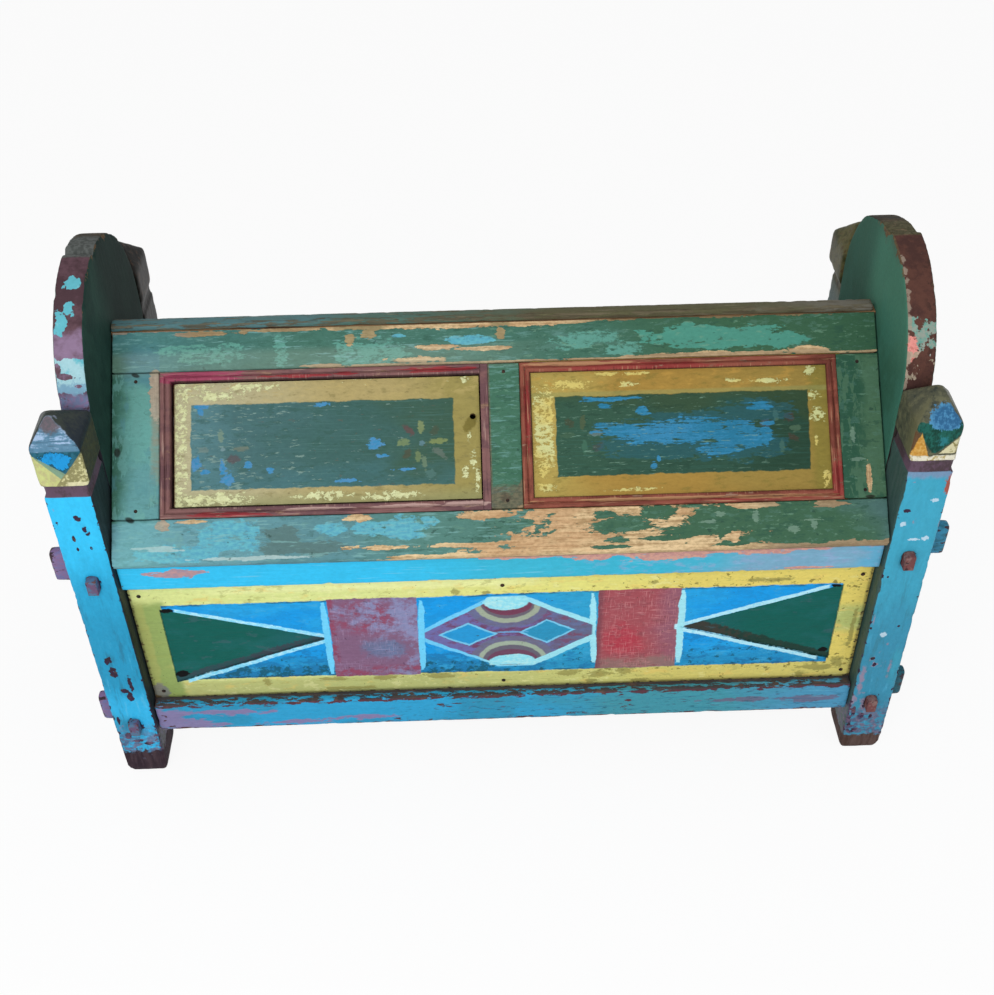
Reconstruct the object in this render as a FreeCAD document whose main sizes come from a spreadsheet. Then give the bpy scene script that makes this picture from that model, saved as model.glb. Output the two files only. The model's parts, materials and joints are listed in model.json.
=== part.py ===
"""Damchiya chest: a painted wooden quilt and dowry chest, built as its joiner built it.

Four posts carry through-tenoned long rails locked by pegs, side rails, boarded walls and a
floor. Two half-round ear boards stand between the posts and hold a ridge beam. The front
roof slope is a framed panel with a door that lifts on wooden pivots beside a fixed panel,
and plain boards close the rear slope.

Millimetres. The origin is the middle of the footprint on the floor, +X runs to the right
along the length, the front faces -Y and +Z is up. Pieces of the two slopes are drawn flat,
with X along the chest, Y up the slope and Z square to it, and are then laid on the slope.
"""
import FreeCAD, Part
import os
import re

doc = FreeCAD.newDocument("damchiya_chest")

# Driving sizes, one row each, in millimetres unless the name ends in count or share
SIZES = (
    ("overall_width", "1400"),
    ("overall_depth", "580"),
    ("post_width", "74"),
    ("post_depth", "90"),
    ("post_height", "680"),
    ("foot_wear_height", "16"),
    ("foot_wear_inset", "5"),
    ("neck_height", "23"),
    ("neck_inset", "3"),
    ("finial_overhang", "2"),
    ("finial_block_height", "68"),
    ("finial_point_height", "40"),
    ("finial_tip_width", "14"),
    ("finial_tip_depth", "12"),
    ("rail_setback", "12"),
    ("rail_thickness", "48"),
    ("lower_rail_bottom", "105"),
    ("lower_rail_height", "68"),
    ("upper_rail_bottom", "463"),
    ("side_upper_rail_height", "72"),
    ("lip_thickness", "12"),
    ("lower_lip_height", "32"),
    ("upper_lip_height", "38"),
    ("tenon_thickness", "24"),
    ("tenon_height", "64"),
    ("tenon_inset", "2"),
    ("lower_tenon_projection", "32"),
    ("upper_tenon_projection", "38"),
    ("peg_width", "18"),
    ("peg_height", "32"),
    ("peg_projection", "12"),
    ("peg_rise", "12"),
    ("side_tenon_length", "28"),
    ("side_tenon_height", "44"),
    ("side_panel_thickness", "18"),
    ("groove_depth", "10"),
    ("fit_gap", "0.3"),
    ("front_panel_thickness", "16"),
    ("panel_end_gap", "2"),
    ("board_gap", "1"),
    ("carving_depth", "2.5"),
    ("carving_base_width", "185"),
    ("carving_length", "272"),
    ("carving_end_distance", "47"),
    ("carving_tip_drop", "3"),
    ("left_carving_drop", "13"),
    ("right_carving_drop", "3"),
    ("nail_radius", "1.6"),
    ("nail_head_radius", "3.6"),
    ("nail_head_height", "1.2"),
    ("nail_length", "26"),
    ("nail_end_distance", "17"),
    ("nail_low_distance", "18"),
    ("nail_high_distance", "32"),
    ("ear_thickness", "48"),
    ("ear_centre_height", "742"),
    ("ear_notch_depth", "12"),
    ("ear_notch_lip_radius", "16"),
    ("ear_tenon_height", "80"),
    ("ear_tenon_rise", "35"),
    ("ear_tenon_length", "25"),
    ("slope_clearance", "2"),
    ("slope_thickness", "24"),
    ("slope_overhang", "8"),
    ("slope_foot_height", "536"),
    ("slope_top_height", "792"),
    ("slope_nosing_radius", "10"),
    ("slope_bottom_rail_width", "76"),
    ("slope_top_rail_width", "69"),
    ("left_stile_width", "77"),
    ("right_stile_width", "69"),
    ("mullion_width", "52"),
    ("door_opening_width", "532"),
    ("stile_tenon_length", "20"),
    ("stile_tenon_thickness", "8"),
    ("stile_tenon_shoulder", "10"),
    ("slope_nail_radius", "3"),
    ("slope_nail_length", "20"),
    ("slope_nail_distance", "14"),
    ("moulding_width", "17"),
    ("moulding_rise", "3"),
    ("moulding_bead_radius", "4"),
    ("panel_recess", "5"),
    ("fixed_panel_thickness", "12"),
    ("fixed_panel_tongue", "8"),
    ("closing_strip_width", "13"),
    ("hinge_gap", "3"),
    ("door_gap", "2"),
    ("pivot_radius", "4.5"),
    ("pivot_clearance", "0.06"),
    ("pivot_socket_depth", "14"),
    ("pivot_root_length", "30"),
    ("pull_hole_radius", "5"),
    ("pull_hole_edge_distance", "11"),
    ("pull_hole_rise_share", "0.67"),
    ("stop_width", "38"),
    ("stop_bearing", "12"),
    ("stop_thickness", "16"),
    ("ridge_thickness", "22"),
    ("ridge_depth", "92"),
    ("ridge_tenon_length", "22"),
    ("ridge_tenon_shoulder", "14"),
    ("ridge_cap_height", "12"),
    ("ridge_cap_overhang", "1"),
    ("ridge_cap_round", "3"),
    ("ridge_cap_short", "5"),
    ("rear_board_inset", "6"),
    ("rear_board_count", "6"),
    ("floor_board_thickness", "16"),
    ("floor_board_count", "6"),
    ("ledger_width", "22"),
    ("ledger_height", "24"),
    ("ledger_end_distance", "30"),
    ("cut_overrun", "60"),
)
NAMES = {name for name, value in SIZES}
VALUES = {name: float(value) for name, value in SIZES}
WORD = re.compile(r"[a-z_]+[a-z_0-9]*")

sheet = doc.addObject("Spreadsheet::Sheet", "sizes")
for row, (name, value) in enumerate(SIZES, start=1):
    sheet.set(f"A{row}", name)
    sheet.set(f"B{row}", value)
    sheet.setAlias(f"B{row}", name)
doc.recompute()

# Places that several pieces share, written in the driving sizes
OUTER_X = "(overall_width / 2)"
INNER_X = "(overall_width / 2 - post_width)"
POST_MIDDLE_X = "(overall_width / 2 - post_width / 2)"
FRONT_Y = "(overall_depth / 2)"
POST_INSIDE_Y = "(overall_depth / 2 - post_depth)"
RAIL_FACE_Y = "(overall_depth / 2 - rail_setback)"
RAIL_INSIDE_Y = "(overall_depth / 2 - rail_setback - rail_thickness)"
LIP_FACE_Y = f"({RAIL_INSIDE_Y} + lip_thickness)"
PANEL_FACE_Y = f"({LIP_FACE_Y} + front_panel_thickness)"
TENON_FACE_Y = f"({RAIL_INSIDE_Y} + tenon_thickness)"
LOWER_RAIL_TOP = "(lower_rail_bottom + lower_rail_height)"
SIDE_RAIL_TOP = "(upper_rail_bottom + side_upper_rail_height)"
SIDE_MIDDLE_X = f"({INNER_X} + rail_thickness / 2)"
EAR_HALF = f"({POST_INSIDE_Y} - finial_overhang - fit_gap)"
NECK_TOP = "(post_height + neck_height)"
BLOCK_TOP = f"({NECK_TOP} + finial_block_height)"

RIDGE_TOP = "slope_top_height"
RIDGE_TENON_HEIGHTS = (f"{RIDGE_TOP} - ridge_depth + ridge_tenon_shoulder",
                       f"{RIDGE_TOP} - ridge_tenon_shoulder")
SLOPE_RUN = "(overall_depth / 2 + slope_overhang - ridge_thickness / 2)"
SLOPE_RISE = "(slope_top_height - slope_foot_height)"
SLOPE_ANGLE = f"atan2({SLOPE_RISE}; {SLOPE_RUN})"
SLOPE_LENGTH = f"({SLOPE_RUN} / cos({SLOPE_ANGLE}))"
SLOPE_FOOT_Y = "(overall_depth / 2 + slope_overhang)"
SLOPE_HALF = f"({INNER_X} - slope_clearance)"
# Height of the slope's underside where it crosses the inner face of a long rail
BEVEL_TOP = (f"(slope_foot_height + ({SLOPE_FOOT_Y} - {RAIL_INSIDE_Y}) * tan({SLOPE_ANGLE})"
             f" - slope_thickness / cos({SLOPE_ANGLE}))")
W_TOP = "0"
W_BOTTOM = "-slope_thickness"
OPENING_LOW = "slope_bottom_rail_width"
OPENING_HIGH = f"({SLOPE_LENGTH} - slope_top_rail_width)"
DOOR_OPENING_LEFT = f"(left_stile_width - {SLOPE_HALF})"
DOOR_OPENING_RIGHT = f"({DOOR_OPENING_LEFT} + door_opening_width)"
FIXED_OPENING_LEFT = f"({DOOR_OPENING_RIGHT} + mullion_width)"
FIXED_OPENING_RIGHT = f"({SLOPE_HALF} - right_stile_width)"
DOOR_THICKNESS = "(slope_thickness - panel_recess - fit_gap)"
DOOR_LEFT = f"({DOOR_OPENING_LEFT} + moulding_width + hinge_gap)"
DOOR_RIGHT = f"({DOOR_OPENING_RIGHT} - closing_strip_width - door_gap)"
DOOR_LOW = f"({OPENING_LOW} + moulding_width + door_gap)"
DOOR_HIGH = f"({OPENING_HIGH} - moulding_width - door_gap)"
PIVOT_U = f"({DOOR_LEFT} + {DOOR_THICKNESS} / 2)"
PIVOT_W = f"(panel_recess + {DOOR_THICKNESS} / 2)"

parts = []


def bound(text):
    """The text as an expression that reads each named size from the sheet."""
    return WORD.sub(lambda found: ("sizes." if found.group(0) in NAMES else "") + found.group(0), str(text))


def place(piece, x="0", y="0", z="0"):
    """Tie the place of a piece's own origin to the sizes."""
    for axis, text in zip("xyz", (x, y, z)):
        piece.setExpression(f"Placement.Base.{axis}", bound(text))


def turn(piece, axis, angle):
    """Turn a piece about an axis through its own origin by a fixed angle or a named one."""
    piece.Placement = FreeCAD.Placement(FreeCAD.Vector(), FreeCAD.Rotation(FreeCAD.Vector(*axis), 1))
    piece.setExpression("Placement.Rotation.Angle", bound(angle))


def block(name, x, y, z):
    """A squared piece between two ends along each axis."""
    piece = doc.addObject("Part::Box", name)
    for side, ends in zip(("Length", "Width", "Height"), (x, y, z)):
        piece.setExpression(side, bound(f"({ends[1]}) - ({ends[0]})"))
    place(piece, x[0], y[0], z[0])
    return piece


def rod(name, radius, along, start, length):
    """A round piece that starts at a point and runs along one axis."""
    piece = doc.addObject("Part::Cylinder", name)
    if along == "x":
        turn(piece, (0, 1, 0), 90)
    if along == "y":
        turn(piece, (1, 0, 0), -90)
    piece.setExpression("Radius", bound(radius))
    piece.setExpression("Height", bound(length))
    place(piece, *start)
    return piece


def taper(name, centre, height, low_size, high_size):
    """A squared piece whose width and depth change evenly from its bottom to its top."""
    piece = doc.addObject("Part::Wedge", name)
    turn(piece, (1, 0, 0), 90)
    ends = {"Ymin": "0", "Ymax": height}
    for mark, size in (("", low_size), ("2", high_size)):
        for axis, full in zip("XZ", size):
            ends[f"{axis}{mark}min"] = f"-({full}) / 2"
            ends[f"{axis}{mark}max"] = f"({full}) / 2"
    for side, text in ends.items():
        piece.setExpression(side, bound(text))
    place(piece, *centre)
    return piece


def joined(name, pieces):
    """Several shapes made into one solid."""
    whole = doc.addObject("Part::MultiFuse", name)
    whole.Shapes = pieces
    whole.Refine = True
    return whole


def trimmed(name, base, tools):
    """A shape with the tools' spaces taken out of it."""
    whole = doc.addObject("Part::Cut", name)
    whole.Base = base
    whole.Tool = tools[0] if len(tools) == 1 else joined(f"{name}_tools", tools)
    return whole


def grouped(name, pieces):
    """Separate solids that share one node."""
    whole = doc.addObject("Part::Compound", name)
    whole.Links = pieces
    return whole


def span(side, near, far):
    """The two ends of what lies between near and far from the middle, on one side of it."""
    return (near, far) if side > 0 else (f"-({far})", f"-({near})")


def keep(piece):
    """Count a finished piece as a sub-part; its label names its file."""
    parts.append(piece)
    return piece


def lay_on_front_slope(piece):
    """Lay a flat-drawn piece on the front slope, with its drawn top at the slope's surface."""
    turn(piece, (1, 0, 0), SLOPE_ANGLE)
    place(piece, "0", f"-{SLOPE_FOOT_Y}", "slope_foot_height")
    return keep(piece)


def lay_on_rear_slope(piece):
    """Lay a flat-drawn piece on the rear slope, with its drawn underside at the slope's surface."""
    turn(piece, (1, 0, 0), f"180 deg - {SLOPE_ANGLE}")
    place(piece, "0", SLOPE_FOOT_Y, "slope_foot_height")
    return keep(piece)


def plumb_end_tool(name, depth_sign):
    """The space beyond the upright face of the ridge beam, seen in a slope's flat drawing."""
    tool = doc.addObject("Part::Box", name)
    turn(tool, (1, 0, 0), f"{-depth_sign} * ({SLOPE_ANGLE})")
    tool.setExpression("Length", bound(f"2 * ({SLOPE_HALF} + cut_overrun)"))
    tool.setExpression("Width", bound("2 * cut_overrun"))
    tool.setExpression("Height", bound("2 * cut_overrun"))
    drop = f"cut_overrun * sin({SLOPE_ANGLE})"
    lean = f"cut_overrun * cos({SLOPE_ANGLE})"
    place(tool, f"-({SLOPE_HALF} + cut_overrun)", f"{SLOPE_LENGTH} - {depth_sign} * {drop}", f"-{lean}")
    return tool


# Long-rail tenons, pegs and side-rail tenons, shared by the rails and the posts' mortises
TENON_PROJECTIONS = {"lower_rail_bottom": "lower_tenon_projection",
                     "upper_rail_bottom": "upper_tenon_projection"}


def tenon_heights(level):
    bottom = f"({level} + tenon_inset)"
    return bottom, f"({bottom} + tenon_height)"


def peg_heights(level):
    bottom = f"({level} + tenon_inset + peg_rise)"
    return bottom, f"({bottom} + peg_height)"


def long_tenon(name, side_x, side_y, level):
    end = f"{OUTER_X} + {TENON_PROJECTIONS[level]}"
    return block(name, span(side_x, INNER_X, end), span(side_y, RAIL_INSIDE_Y, TENON_FACE_Y),
                 tenon_heights(level))


def peg(name, side_x, side_y, level):
    return block(name, span(side_x, f"{POST_MIDDLE_X} - peg_width / 2", f"{POST_MIDDLE_X} + peg_width / 2"),
                 span(side_y, RAIL_INSIDE_Y, f"{FRONT_Y} + peg_projection"), peg_heights(level))


def side_tenon(name, side_x, side_y, centre, height, length):
    return block(name, span(side_x, f"{SIDE_MIDDLE_X} - tenon_thickness / 2",
                            f"{SIDE_MIDDLE_X} + tenon_thickness / 2"),
                 span(side_y, f"{POST_INSIDE_Y} - {length}", f"{POST_INSIDE_Y} + {length}"),
                 (f"{centre} - {height} / 2", f"{centre} + {height} / 2"))


LOWER_SIDE_CENTRE = "(lower_rail_bottom + lower_rail_height / 2)"
UPPER_SIDE_CENTRE = "(upper_rail_bottom + side_upper_rail_height / 2)"
EAR_TENON_CENTRE = f"({SIDE_RAIL_TOP} + ear_tenon_rise + ear_tenon_height / 2)"
LEVELS = (("lower", "lower_rail_bottom"), ("upper", "upper_rail_bottom"))


def make_post(name, side_x, side_y):
    """A corner post: worn foot, shaft, neck, finial block and blunt point, with its mortises."""
    x = span(side_x, INNER_X, OUTER_X)
    y = span(side_y, POST_INSIDE_Y, FRONT_Y)
    centre_x = f"{side_x} * {POST_MIDDLE_X}"
    centre_y = f"{side_y} * ({FRONT_Y} - post_depth / 2)"
    neck = [(f"{low} + neck_inset", f"{high} - neck_inset") for low, high in (x, y)]
    top = [(f"{low} - finial_overhang", f"{high} + finial_overhang") for low, high in (x, y)]
    wide = ("post_width + 2 * finial_overhang", "post_depth + 2 * finial_overhang")
    solid = joined(f"{name}_blank", [
        taper(f"{name}_foot", (centre_x, centre_y, "0"), "foot_wear_height",
              ("post_width - 2 * foot_wear_inset", "post_depth - 2 * foot_wear_inset"),
              ("post_width", "post_depth")),
        block(f"{name}_shaft", x, y, ("foot_wear_height", "post_height")),
        block(f"{name}_neck", neck[0], neck[1], ("post_height", NECK_TOP)),
        block(f"{name}_finial", top[0], top[1], (NECK_TOP, BLOCK_TOP)),
        taper(f"{name}_point", (centre_x, centre_y, BLOCK_TOP), "finial_point_height",
              wide, ("finial_tip_width", "finial_tip_depth")),
    ])
    tools = [block(f"{name}_groove",
                   span(side_x, f"{SIDE_MIDDLE_X} - side_panel_thickness / 2",
                        f"{SIDE_MIDDLE_X} + side_panel_thickness / 2"),
                   span(side_y, f"{POST_INSIDE_Y} - groove_depth", f"{POST_INSIDE_Y} + groove_depth"),
                   (f"{LOWER_RAIL_TOP} - groove_depth", "upper_rail_bottom + groove_depth"))]
    for word, level in LEVELS:
        tools.append(long_tenon(f"{name}_{word}_mortise", side_x, side_y, level))
        tools.append(peg(f"{name}_{word}_peg_hole", side_x, side_y, level))
    for word, middle, height, length in (
            ("lower", LOWER_SIDE_CENTRE, "side_tenon_height", "side_tenon_length"),
            ("upper", UPPER_SIDE_CENTRE, "side_tenon_height", "side_tenon_length"),
            ("ear", EAR_TENON_CENTRE, "ear_tenon_height", "ear_tenon_length")):
        tools.append(side_tenon(f"{name}_{word}_side_mortise", side_x, side_y, middle, height, length))
    keep(trimmed(name, solid, tools))


def front_nails(name, side_y, radius, start, length):
    """One round shape at each nail of a nailed long wall, three along each of two rows."""
    shapes = []
    places = (f"-({INNER_X} - panel_end_gap - nail_end_distance)", "0",
              f"{INNER_X} - panel_end_gap - nail_end_distance")
    rows = (f"{LOWER_RAIL_TOP} + nail_low_distance", "upper_rail_bottom - nail_high_distance")
    for column, x in enumerate(places, start=1):
        for word, z in zip(("low", "high"), rows):
            low, high = span(side_y, f"{start} - {length}", start)
            shapes.append(rod(f"{name}_{word}_{column}", radius, "y", (x, low, z), f"{high} - ({low})"))
    return shapes


def make_long_rails(word, side_y):
    """The lower and upper long rails of one wall, with lips, through tenons and peg holes."""
    face = span(side_y, RAIL_INSIDE_Y, RAIL_FACE_Y)
    lip = span(side_y, RAIL_INSIDE_Y, LIP_FACE_Y)
    length = (f"-{INNER_X}", INNER_X)
    extents = {
        "lower": (("lower_rail_bottom", LOWER_RAIL_TOP),
                  (LOWER_RAIL_TOP, f"{LOWER_RAIL_TOP} + lower_lip_height")),
        "upper": (("upper_rail_bottom", BEVEL_TOP),
                  ("upper_rail_bottom - upper_lip_height", "upper_rail_bottom")),
    }
    for rail, level in LEVELS:
        name = f"{word}_{rail}_rail"
        body, edge = extents[rail]
        pieces = [block(f"{name}_bar", length, face, body), block(f"{name}_lip", length, lip, edge)]
        tools = front_nails(f"{name}_nail_hole", side_y, "nail_radius", PANEL_FACE_Y, "nail_length")
        for side_x in (-1, 1):
            mark = "left" if side_x < 0 else "right"
            pieces.append(long_tenon(f"{name}_{mark}_tenon", side_x, side_y, level))
            tools.append(peg(f"{name}_{mark}_peg_hole", side_x, side_y, level))
        if rail == "upper":
            tools.append(bevel_tool(f"{name}_bevel", side_y))
        keep(trimmed(name, joined(f"{name}_blank", pieces), tools))


def bevel_tool(name, side_y):
    """The space above the underside of a slope, which bevels the long rail that carries it."""
    tool = doc.addObject("Part::Box", name)
    tool.setExpression("Length", bound(f"2 * {INNER_X}"))
    tool.setExpression("Width", bound(f"{SLOPE_LENGTH}"))
    tool.setExpression("Height", bound("cut_overrun"))
    shift_y = f"slope_thickness * sin({SLOPE_ANGLE})"
    shift_z = f"slope_thickness * cos({SLOPE_ANGLE})"
    if side_y < 0:
        turn(tool, (1, 0, 0), SLOPE_ANGLE)
        place(tool, f"-{INNER_X}", f"-{SLOPE_FOOT_Y} + {shift_y}", f"slope_foot_height - {shift_z}")
    else:
        turn(tool, (1, 0, 0), f"180 deg - {SLOPE_ANGLE}")
        rise_y = f"cut_overrun * sin({SLOPE_ANGLE})"
        rise_z = f"cut_overrun * cos({SLOPE_ANGLE})"
        place(tool, f"-{INNER_X}", f"{SLOPE_FOOT_Y} - {shift_y} + {rise_y}",
              f"slope_foot_height - {shift_z} + {rise_z}")
    return tool


def make_front_panel():
    """The broad painted front board, with a shallow carved triangle towards each end."""
    blank = block("front_panel_blank", (f"panel_end_gap - {INNER_X}", f"{INNER_X} - panel_end_gap"),
                  span(-1, LIP_FACE_Y, PANEL_FACE_Y), (LOWER_RAIL_TOP, "upper_rail_bottom"))
    tools = front_nails("front_panel_nail_hole", -1, "nail_radius", PANEL_FACE_Y, "nail_length")
    middle_z = f"({LOWER_RAIL_TOP} + upper_rail_bottom) / 2"
    for mark, side_x in (("left", -1), ("right", 1)):
        triangle = doc.addObject("Part::Wedge", f"front_panel_{mark}_carving")
        turn(triangle, (0, 0, 1), 90 * side_x)
        tip = f"{mark}_carving_drop - carving_tip_drop"
        for side, text in (("Xmin", "-carving_depth"), ("Xmax", "carving_depth"),
                           ("X2min", "-carving_depth"), ("X2max", "carving_depth"),
                           ("Ymin", "0"), ("Ymax", "carving_length"),
                           ("Zmin", "-carving_base_width / 2"), ("Zmax", "carving_base_width / 2"),
                           ("Z2min", f"{tip} - fit_gap"), ("Z2max", f"{tip} + fit_gap")):
            triangle.setExpression(side, bound(text))
        place(triangle, f"{side_x} * ({INNER_X} - carving_end_distance)", f"-{PANEL_FACE_Y}",
              f"{middle_z} - {mark}_carving_drop")
        tools.append(triangle)
    keep(trimmed("front_panel", blank, tools))


def make_rear_panel():
    """Two plain boards, one above the other, that close the rear wall."""
    middle_z = f"({LOWER_RAIL_TOP} + upper_rail_bottom) / 2"
    heights = {"lower": (LOWER_RAIL_TOP, f"{middle_z} - board_gap / 2"),
               "upper": (f"{middle_z} + board_gap / 2", "upper_rail_bottom")}
    for word, z in heights.items():
        name = f"rear_panel_{word}_board"
        board = block(f"{name}_blank", (f"panel_end_gap - {INNER_X}", f"{INNER_X} - panel_end_gap"),
                      span(1, LIP_FACE_Y, PANEL_FACE_Y), z)
        tools = front_nails(f"{name}_nail_hole", 1, "nail_radius", PANEL_FACE_Y, "nail_length")
        keep(trimmed(name, board, tools))


def make_wall_nails(word, side_y):
    """Six forged nails: a shank through the board into the rail's lip, and a low round head."""
    shanks = front_nails(f"{word}_shank", side_y, "nail_radius", PANEL_FACE_Y, "nail_length")
    heads = front_nails(f"{word}_head", side_y, "nail_head_radius",
                        f"({PANEL_FACE_Y} + nail_head_height)", "nail_head_height")
    nails = [joined(f"{word}_nail_{count}", pair) for count, pair in enumerate(zip(shanks, heads), start=1)]
    keep(grouped(f"{word}_panel_nails", nails))


def make_side(word, side_x):
    """One end of the chest: lower and upper side rails, their grooved panel and the ear board."""
    x = span(side_x, INNER_X, f"{INNER_X} + rail_thickness")
    groove_x = span(side_x, f"{SIDE_MIDDLE_X} - side_panel_thickness / 2",
                    f"{SIDE_MIDDLE_X} + side_panel_thickness / 2")
    y = (f"-{POST_INSIDE_Y}", POST_INSIDE_Y)
    rails = (("lower", ("lower_rail_bottom", LOWER_RAIL_TOP), LOWER_SIDE_CENTRE, LOWER_RAIL_TOP),
             ("upper", ("upper_rail_bottom", SIDE_RAIL_TOP), UPPER_SIDE_CENTRE, "upper_rail_bottom"))
    for rail, z, middle, grooved in rails:
        name = f"{word}_{rail}_side_rail"
        pieces = [block(f"{name}_bar", x, y, z)]
        for end in (-1, 1):
            pieces.append(side_tenon(f"{name}_tenon_{end + 2}", side_x, end, middle,
                                     "side_tenon_height", "side_tenon_length"))
        groove = block(f"{name}_groove", groove_x, y,
                       (f"{grooved} - groove_depth", f"{grooved} + groove_depth"))
        keep(trimmed(name, joined(f"{name}_blank", pieces), [groove]))
    reach = f"{POST_INSIDE_Y} + groove_depth - fit_gap"
    keep(block(f"{word}_side_panel", groove_x, (f"-({reach})", reach),
               (f"{LOWER_RAIL_TOP} - groove_depth + fit_gap", "upper_rail_bottom + groove_depth - fit_gap")))
    make_ear(word, side_x)


def make_ear(word, side_x):
    """A half-round end board with a rounded cusp cut into the middle of its crown."""
    name = f"{word}_ear_board"
    x = span(side_x, INNER_X, f"{INNER_X} + ear_thickness")
    through = (f"{x[0]} - cut_overrun", f"{x[1]} + cut_overrun")
    disc = rod(f"{name}_disc", EAR_HALF, "x", (x[0], "0", "ear_centre_height"), "ear_thickness")
    lower_half = block(f"{name}_lower_half", through,
                       (f"-{EAR_HALF} - cut_overrun", f"{EAR_HALF} + cut_overrun"),
                       (f"ear_centre_height - {EAR_HALF} - cut_overrun", "ear_centre_height"))
    pieces = [block(f"{name}_board", x, (f"-{EAR_HALF}", EAR_HALF), (SIDE_RAIL_TOP, "ear_centre_height")),
              trimmed(f"{name}_half_disc", disc, [lower_half])]
    for end in (-1, 1):
        pieces.append(side_tenon(f"{name}_tenon_{end + 2}", side_x, end, EAR_TENON_CENTRE,
                                 "ear_tenon_height", "ear_tenon_length"))
    crown = f"(ear_centre_height + {EAR_HALF})"
    notch = block(f"{name}_notch", through, ("-ear_notch_lip_radius", "ear_notch_lip_radius"),
                  (f"{crown} - ear_notch_depth", f"{crown} + ear_notch_lip_radius"))
    lips = [rod(f"{name}_lip_{end + 2}", "ear_notch_lip_radius", "x",
                (x[0], f"{end} * ear_notch_lip_radius", f"{crown} - ear_notch_lip_radius"), "ear_thickness")
            for end in (-1, 1)]
    blank = trimmed(f"{name}_notched", joined(f"{name}_blank", pieces), [notch])
    mortise = block(f"{name}_mortise", span(side_x, INNER_X, f"{INNER_X} + ridge_tenon_length"),
                    ("-ridge_thickness / 2", "ridge_thickness / 2"), RIDGE_TENON_HEIGHTS)
    keep(trimmed(name, joined(f"{name}_lipped", [blank] + lips), [mortise]))


def make_ridge():
    """The ridge beam, tenoned into both ear boards, and the cap strip that covers the joint."""
    y = ("-ridge_thickness / 2", "ridge_thickness / 2")
    keep(joined("ridge_beam", [
        block("ridge_beam_bar", (f"-{INNER_X}", INNER_X), y, (f"{RIDGE_TOP} - ridge_depth", RIDGE_TOP)),
        block("ridge_beam_tenons",
              (f"-({INNER_X} + ridge_tenon_length)", f"{INNER_X} + ridge_tenon_length"),
              y, RIDGE_TENON_HEIGHTS),
    ]))
    half = "(ridge_thickness / 2 + ridge_cap_overhang)"
    length = (f"fit_gap - {INNER_X}", f"{INNER_X} - ridge_cap_short")
    flat = f"({RIDGE_TOP} + ridge_cap_height - ridge_cap_round)"
    pieces = [block("ridge_cap_strip", length, (f"-{half}", half), (RIDGE_TOP, flat)),
              block("ridge_cap_crown", length, (f"ridge_cap_round - {half}", f"{half} - ridge_cap_round"),
                    (flat, f"{flat} + ridge_cap_round"))]
    for mark, side in (("front", -1), ("rear", 1)):
        pieces.append(rod(f"ridge_cap_{mark}_edge", "ridge_cap_round", "x",
                          (length[0], f"{side} * ({half} - ridge_cap_round)", flat),
                          f"{length[1]} - ({length[0]})"))
    keep(joined("ridge_cap", pieces))


def make_floor():
    """Cross boards that lie on a ledger along each long wall."""
    for word, side_y in (("front", -1), ("rear", 1)):
        half = f"({INNER_X} - ledger_end_distance)"
        keep(block(f"{word}_floor_ledger", (f"-{half}", half),
                   span(side_y, f"{RAIL_INSIDE_Y} - ledger_width", RAIL_INSIDE_Y),
                   (f"{LOWER_RAIL_TOP} - floor_board_thickness - ledger_height",
                    f"{LOWER_RAIL_TOP} - floor_board_thickness")))
    count = int(VALUES["floor_board_count"])
    for number in range(count):
        left = f"{number} * 2 * {INNER_X} / floor_board_count - {INNER_X} + board_gap / 2"
        right = f"{number + 1} * 2 * {INNER_X} / floor_board_count - {INNER_X} - board_gap / 2"
        keep(block(f"floor_board_{number + 1}", (left, right),
                   (f"fit_gap - {RAIL_INSIDE_Y}", f"{RAIL_INSIDE_Y} - fit_gap"),
                   (f"{LOWER_RAIL_TOP} - floor_board_thickness", LOWER_RAIL_TOP)))


def make_rear_slope():
    """Short boards from the rear rail up to the ridge beam."""
    count = int(VALUES["rear_board_count"])
    for number in range(count):
        left = f"{number} * 2 * {SLOPE_HALF} / rear_board_count - {SLOPE_HALF} + board_gap / 2"
        right = f"{number + 1} * 2 * {SLOPE_HALF} / rear_board_count - {SLOPE_HALF} - board_gap / 2"
        name = f"rear_slope_board_{number + 1}"
        board = block(f"{name}_blank", (left, right), ("0", f"{SLOPE_LENGTH} + cut_overrun / 2"),
                      ("rear_board_inset", "slope_thickness"))
        lay_on_rear_slope(trimmed(name, board, [plumb_end_tool(f"{name}_plumb_cut", -1)]))


def stile_tenon(name, left, right, low, high):
    """The tongue at both ends of an upright of the slope frame, or its mortises."""
    return block(name, (f"{left} + stile_tenon_shoulder", f"{right} - stile_tenon_shoulder"),
                 (f"{low} - stile_tenon_length", f"{high} + stile_tenon_length"),
                 ("-slope_thickness / 2 - stile_tenon_thickness / 2",
                  "-slope_thickness / 2 + stile_tenon_thickness / 2"))


def fixed_panel_space(name, tongue):
    """The fixed panel with its tongue, or the grooves that hold it."""
    return block(name, (f"{FIXED_OPENING_LEFT} - {tongue}", f"{FIXED_OPENING_RIGHT} + {tongue}"),
                 (f"{OPENING_LOW} - {tongue}", f"{OPENING_HIGH} + {tongue}"),
                 ("-(panel_recess + fixed_panel_thickness)", "-panel_recess"))


def pivot_rod(name, radius, low, high):
    """A round along the door's pivot axis between two places up the slope."""
    return rod(name, radius, "y", (PIVOT_U, low, f"-{PIVOT_W}"), f"{high} - ({low})")


def pivot_sockets(name):
    """The running holes for the door's pivots, through the mouldings and into the rails."""
    return pivot_rod(name, "(pivot_radius + pivot_clearance)", f"{OPENING_LOW} - pivot_socket_depth",
                     f"{OPENING_HIGH} + pivot_socket_depth")


def slope_nail(name, u, v):
    return rod(name, "slope_nail_radius", "z", (u, v, "-slope_nail_length"), "slope_nail_length")


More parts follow.
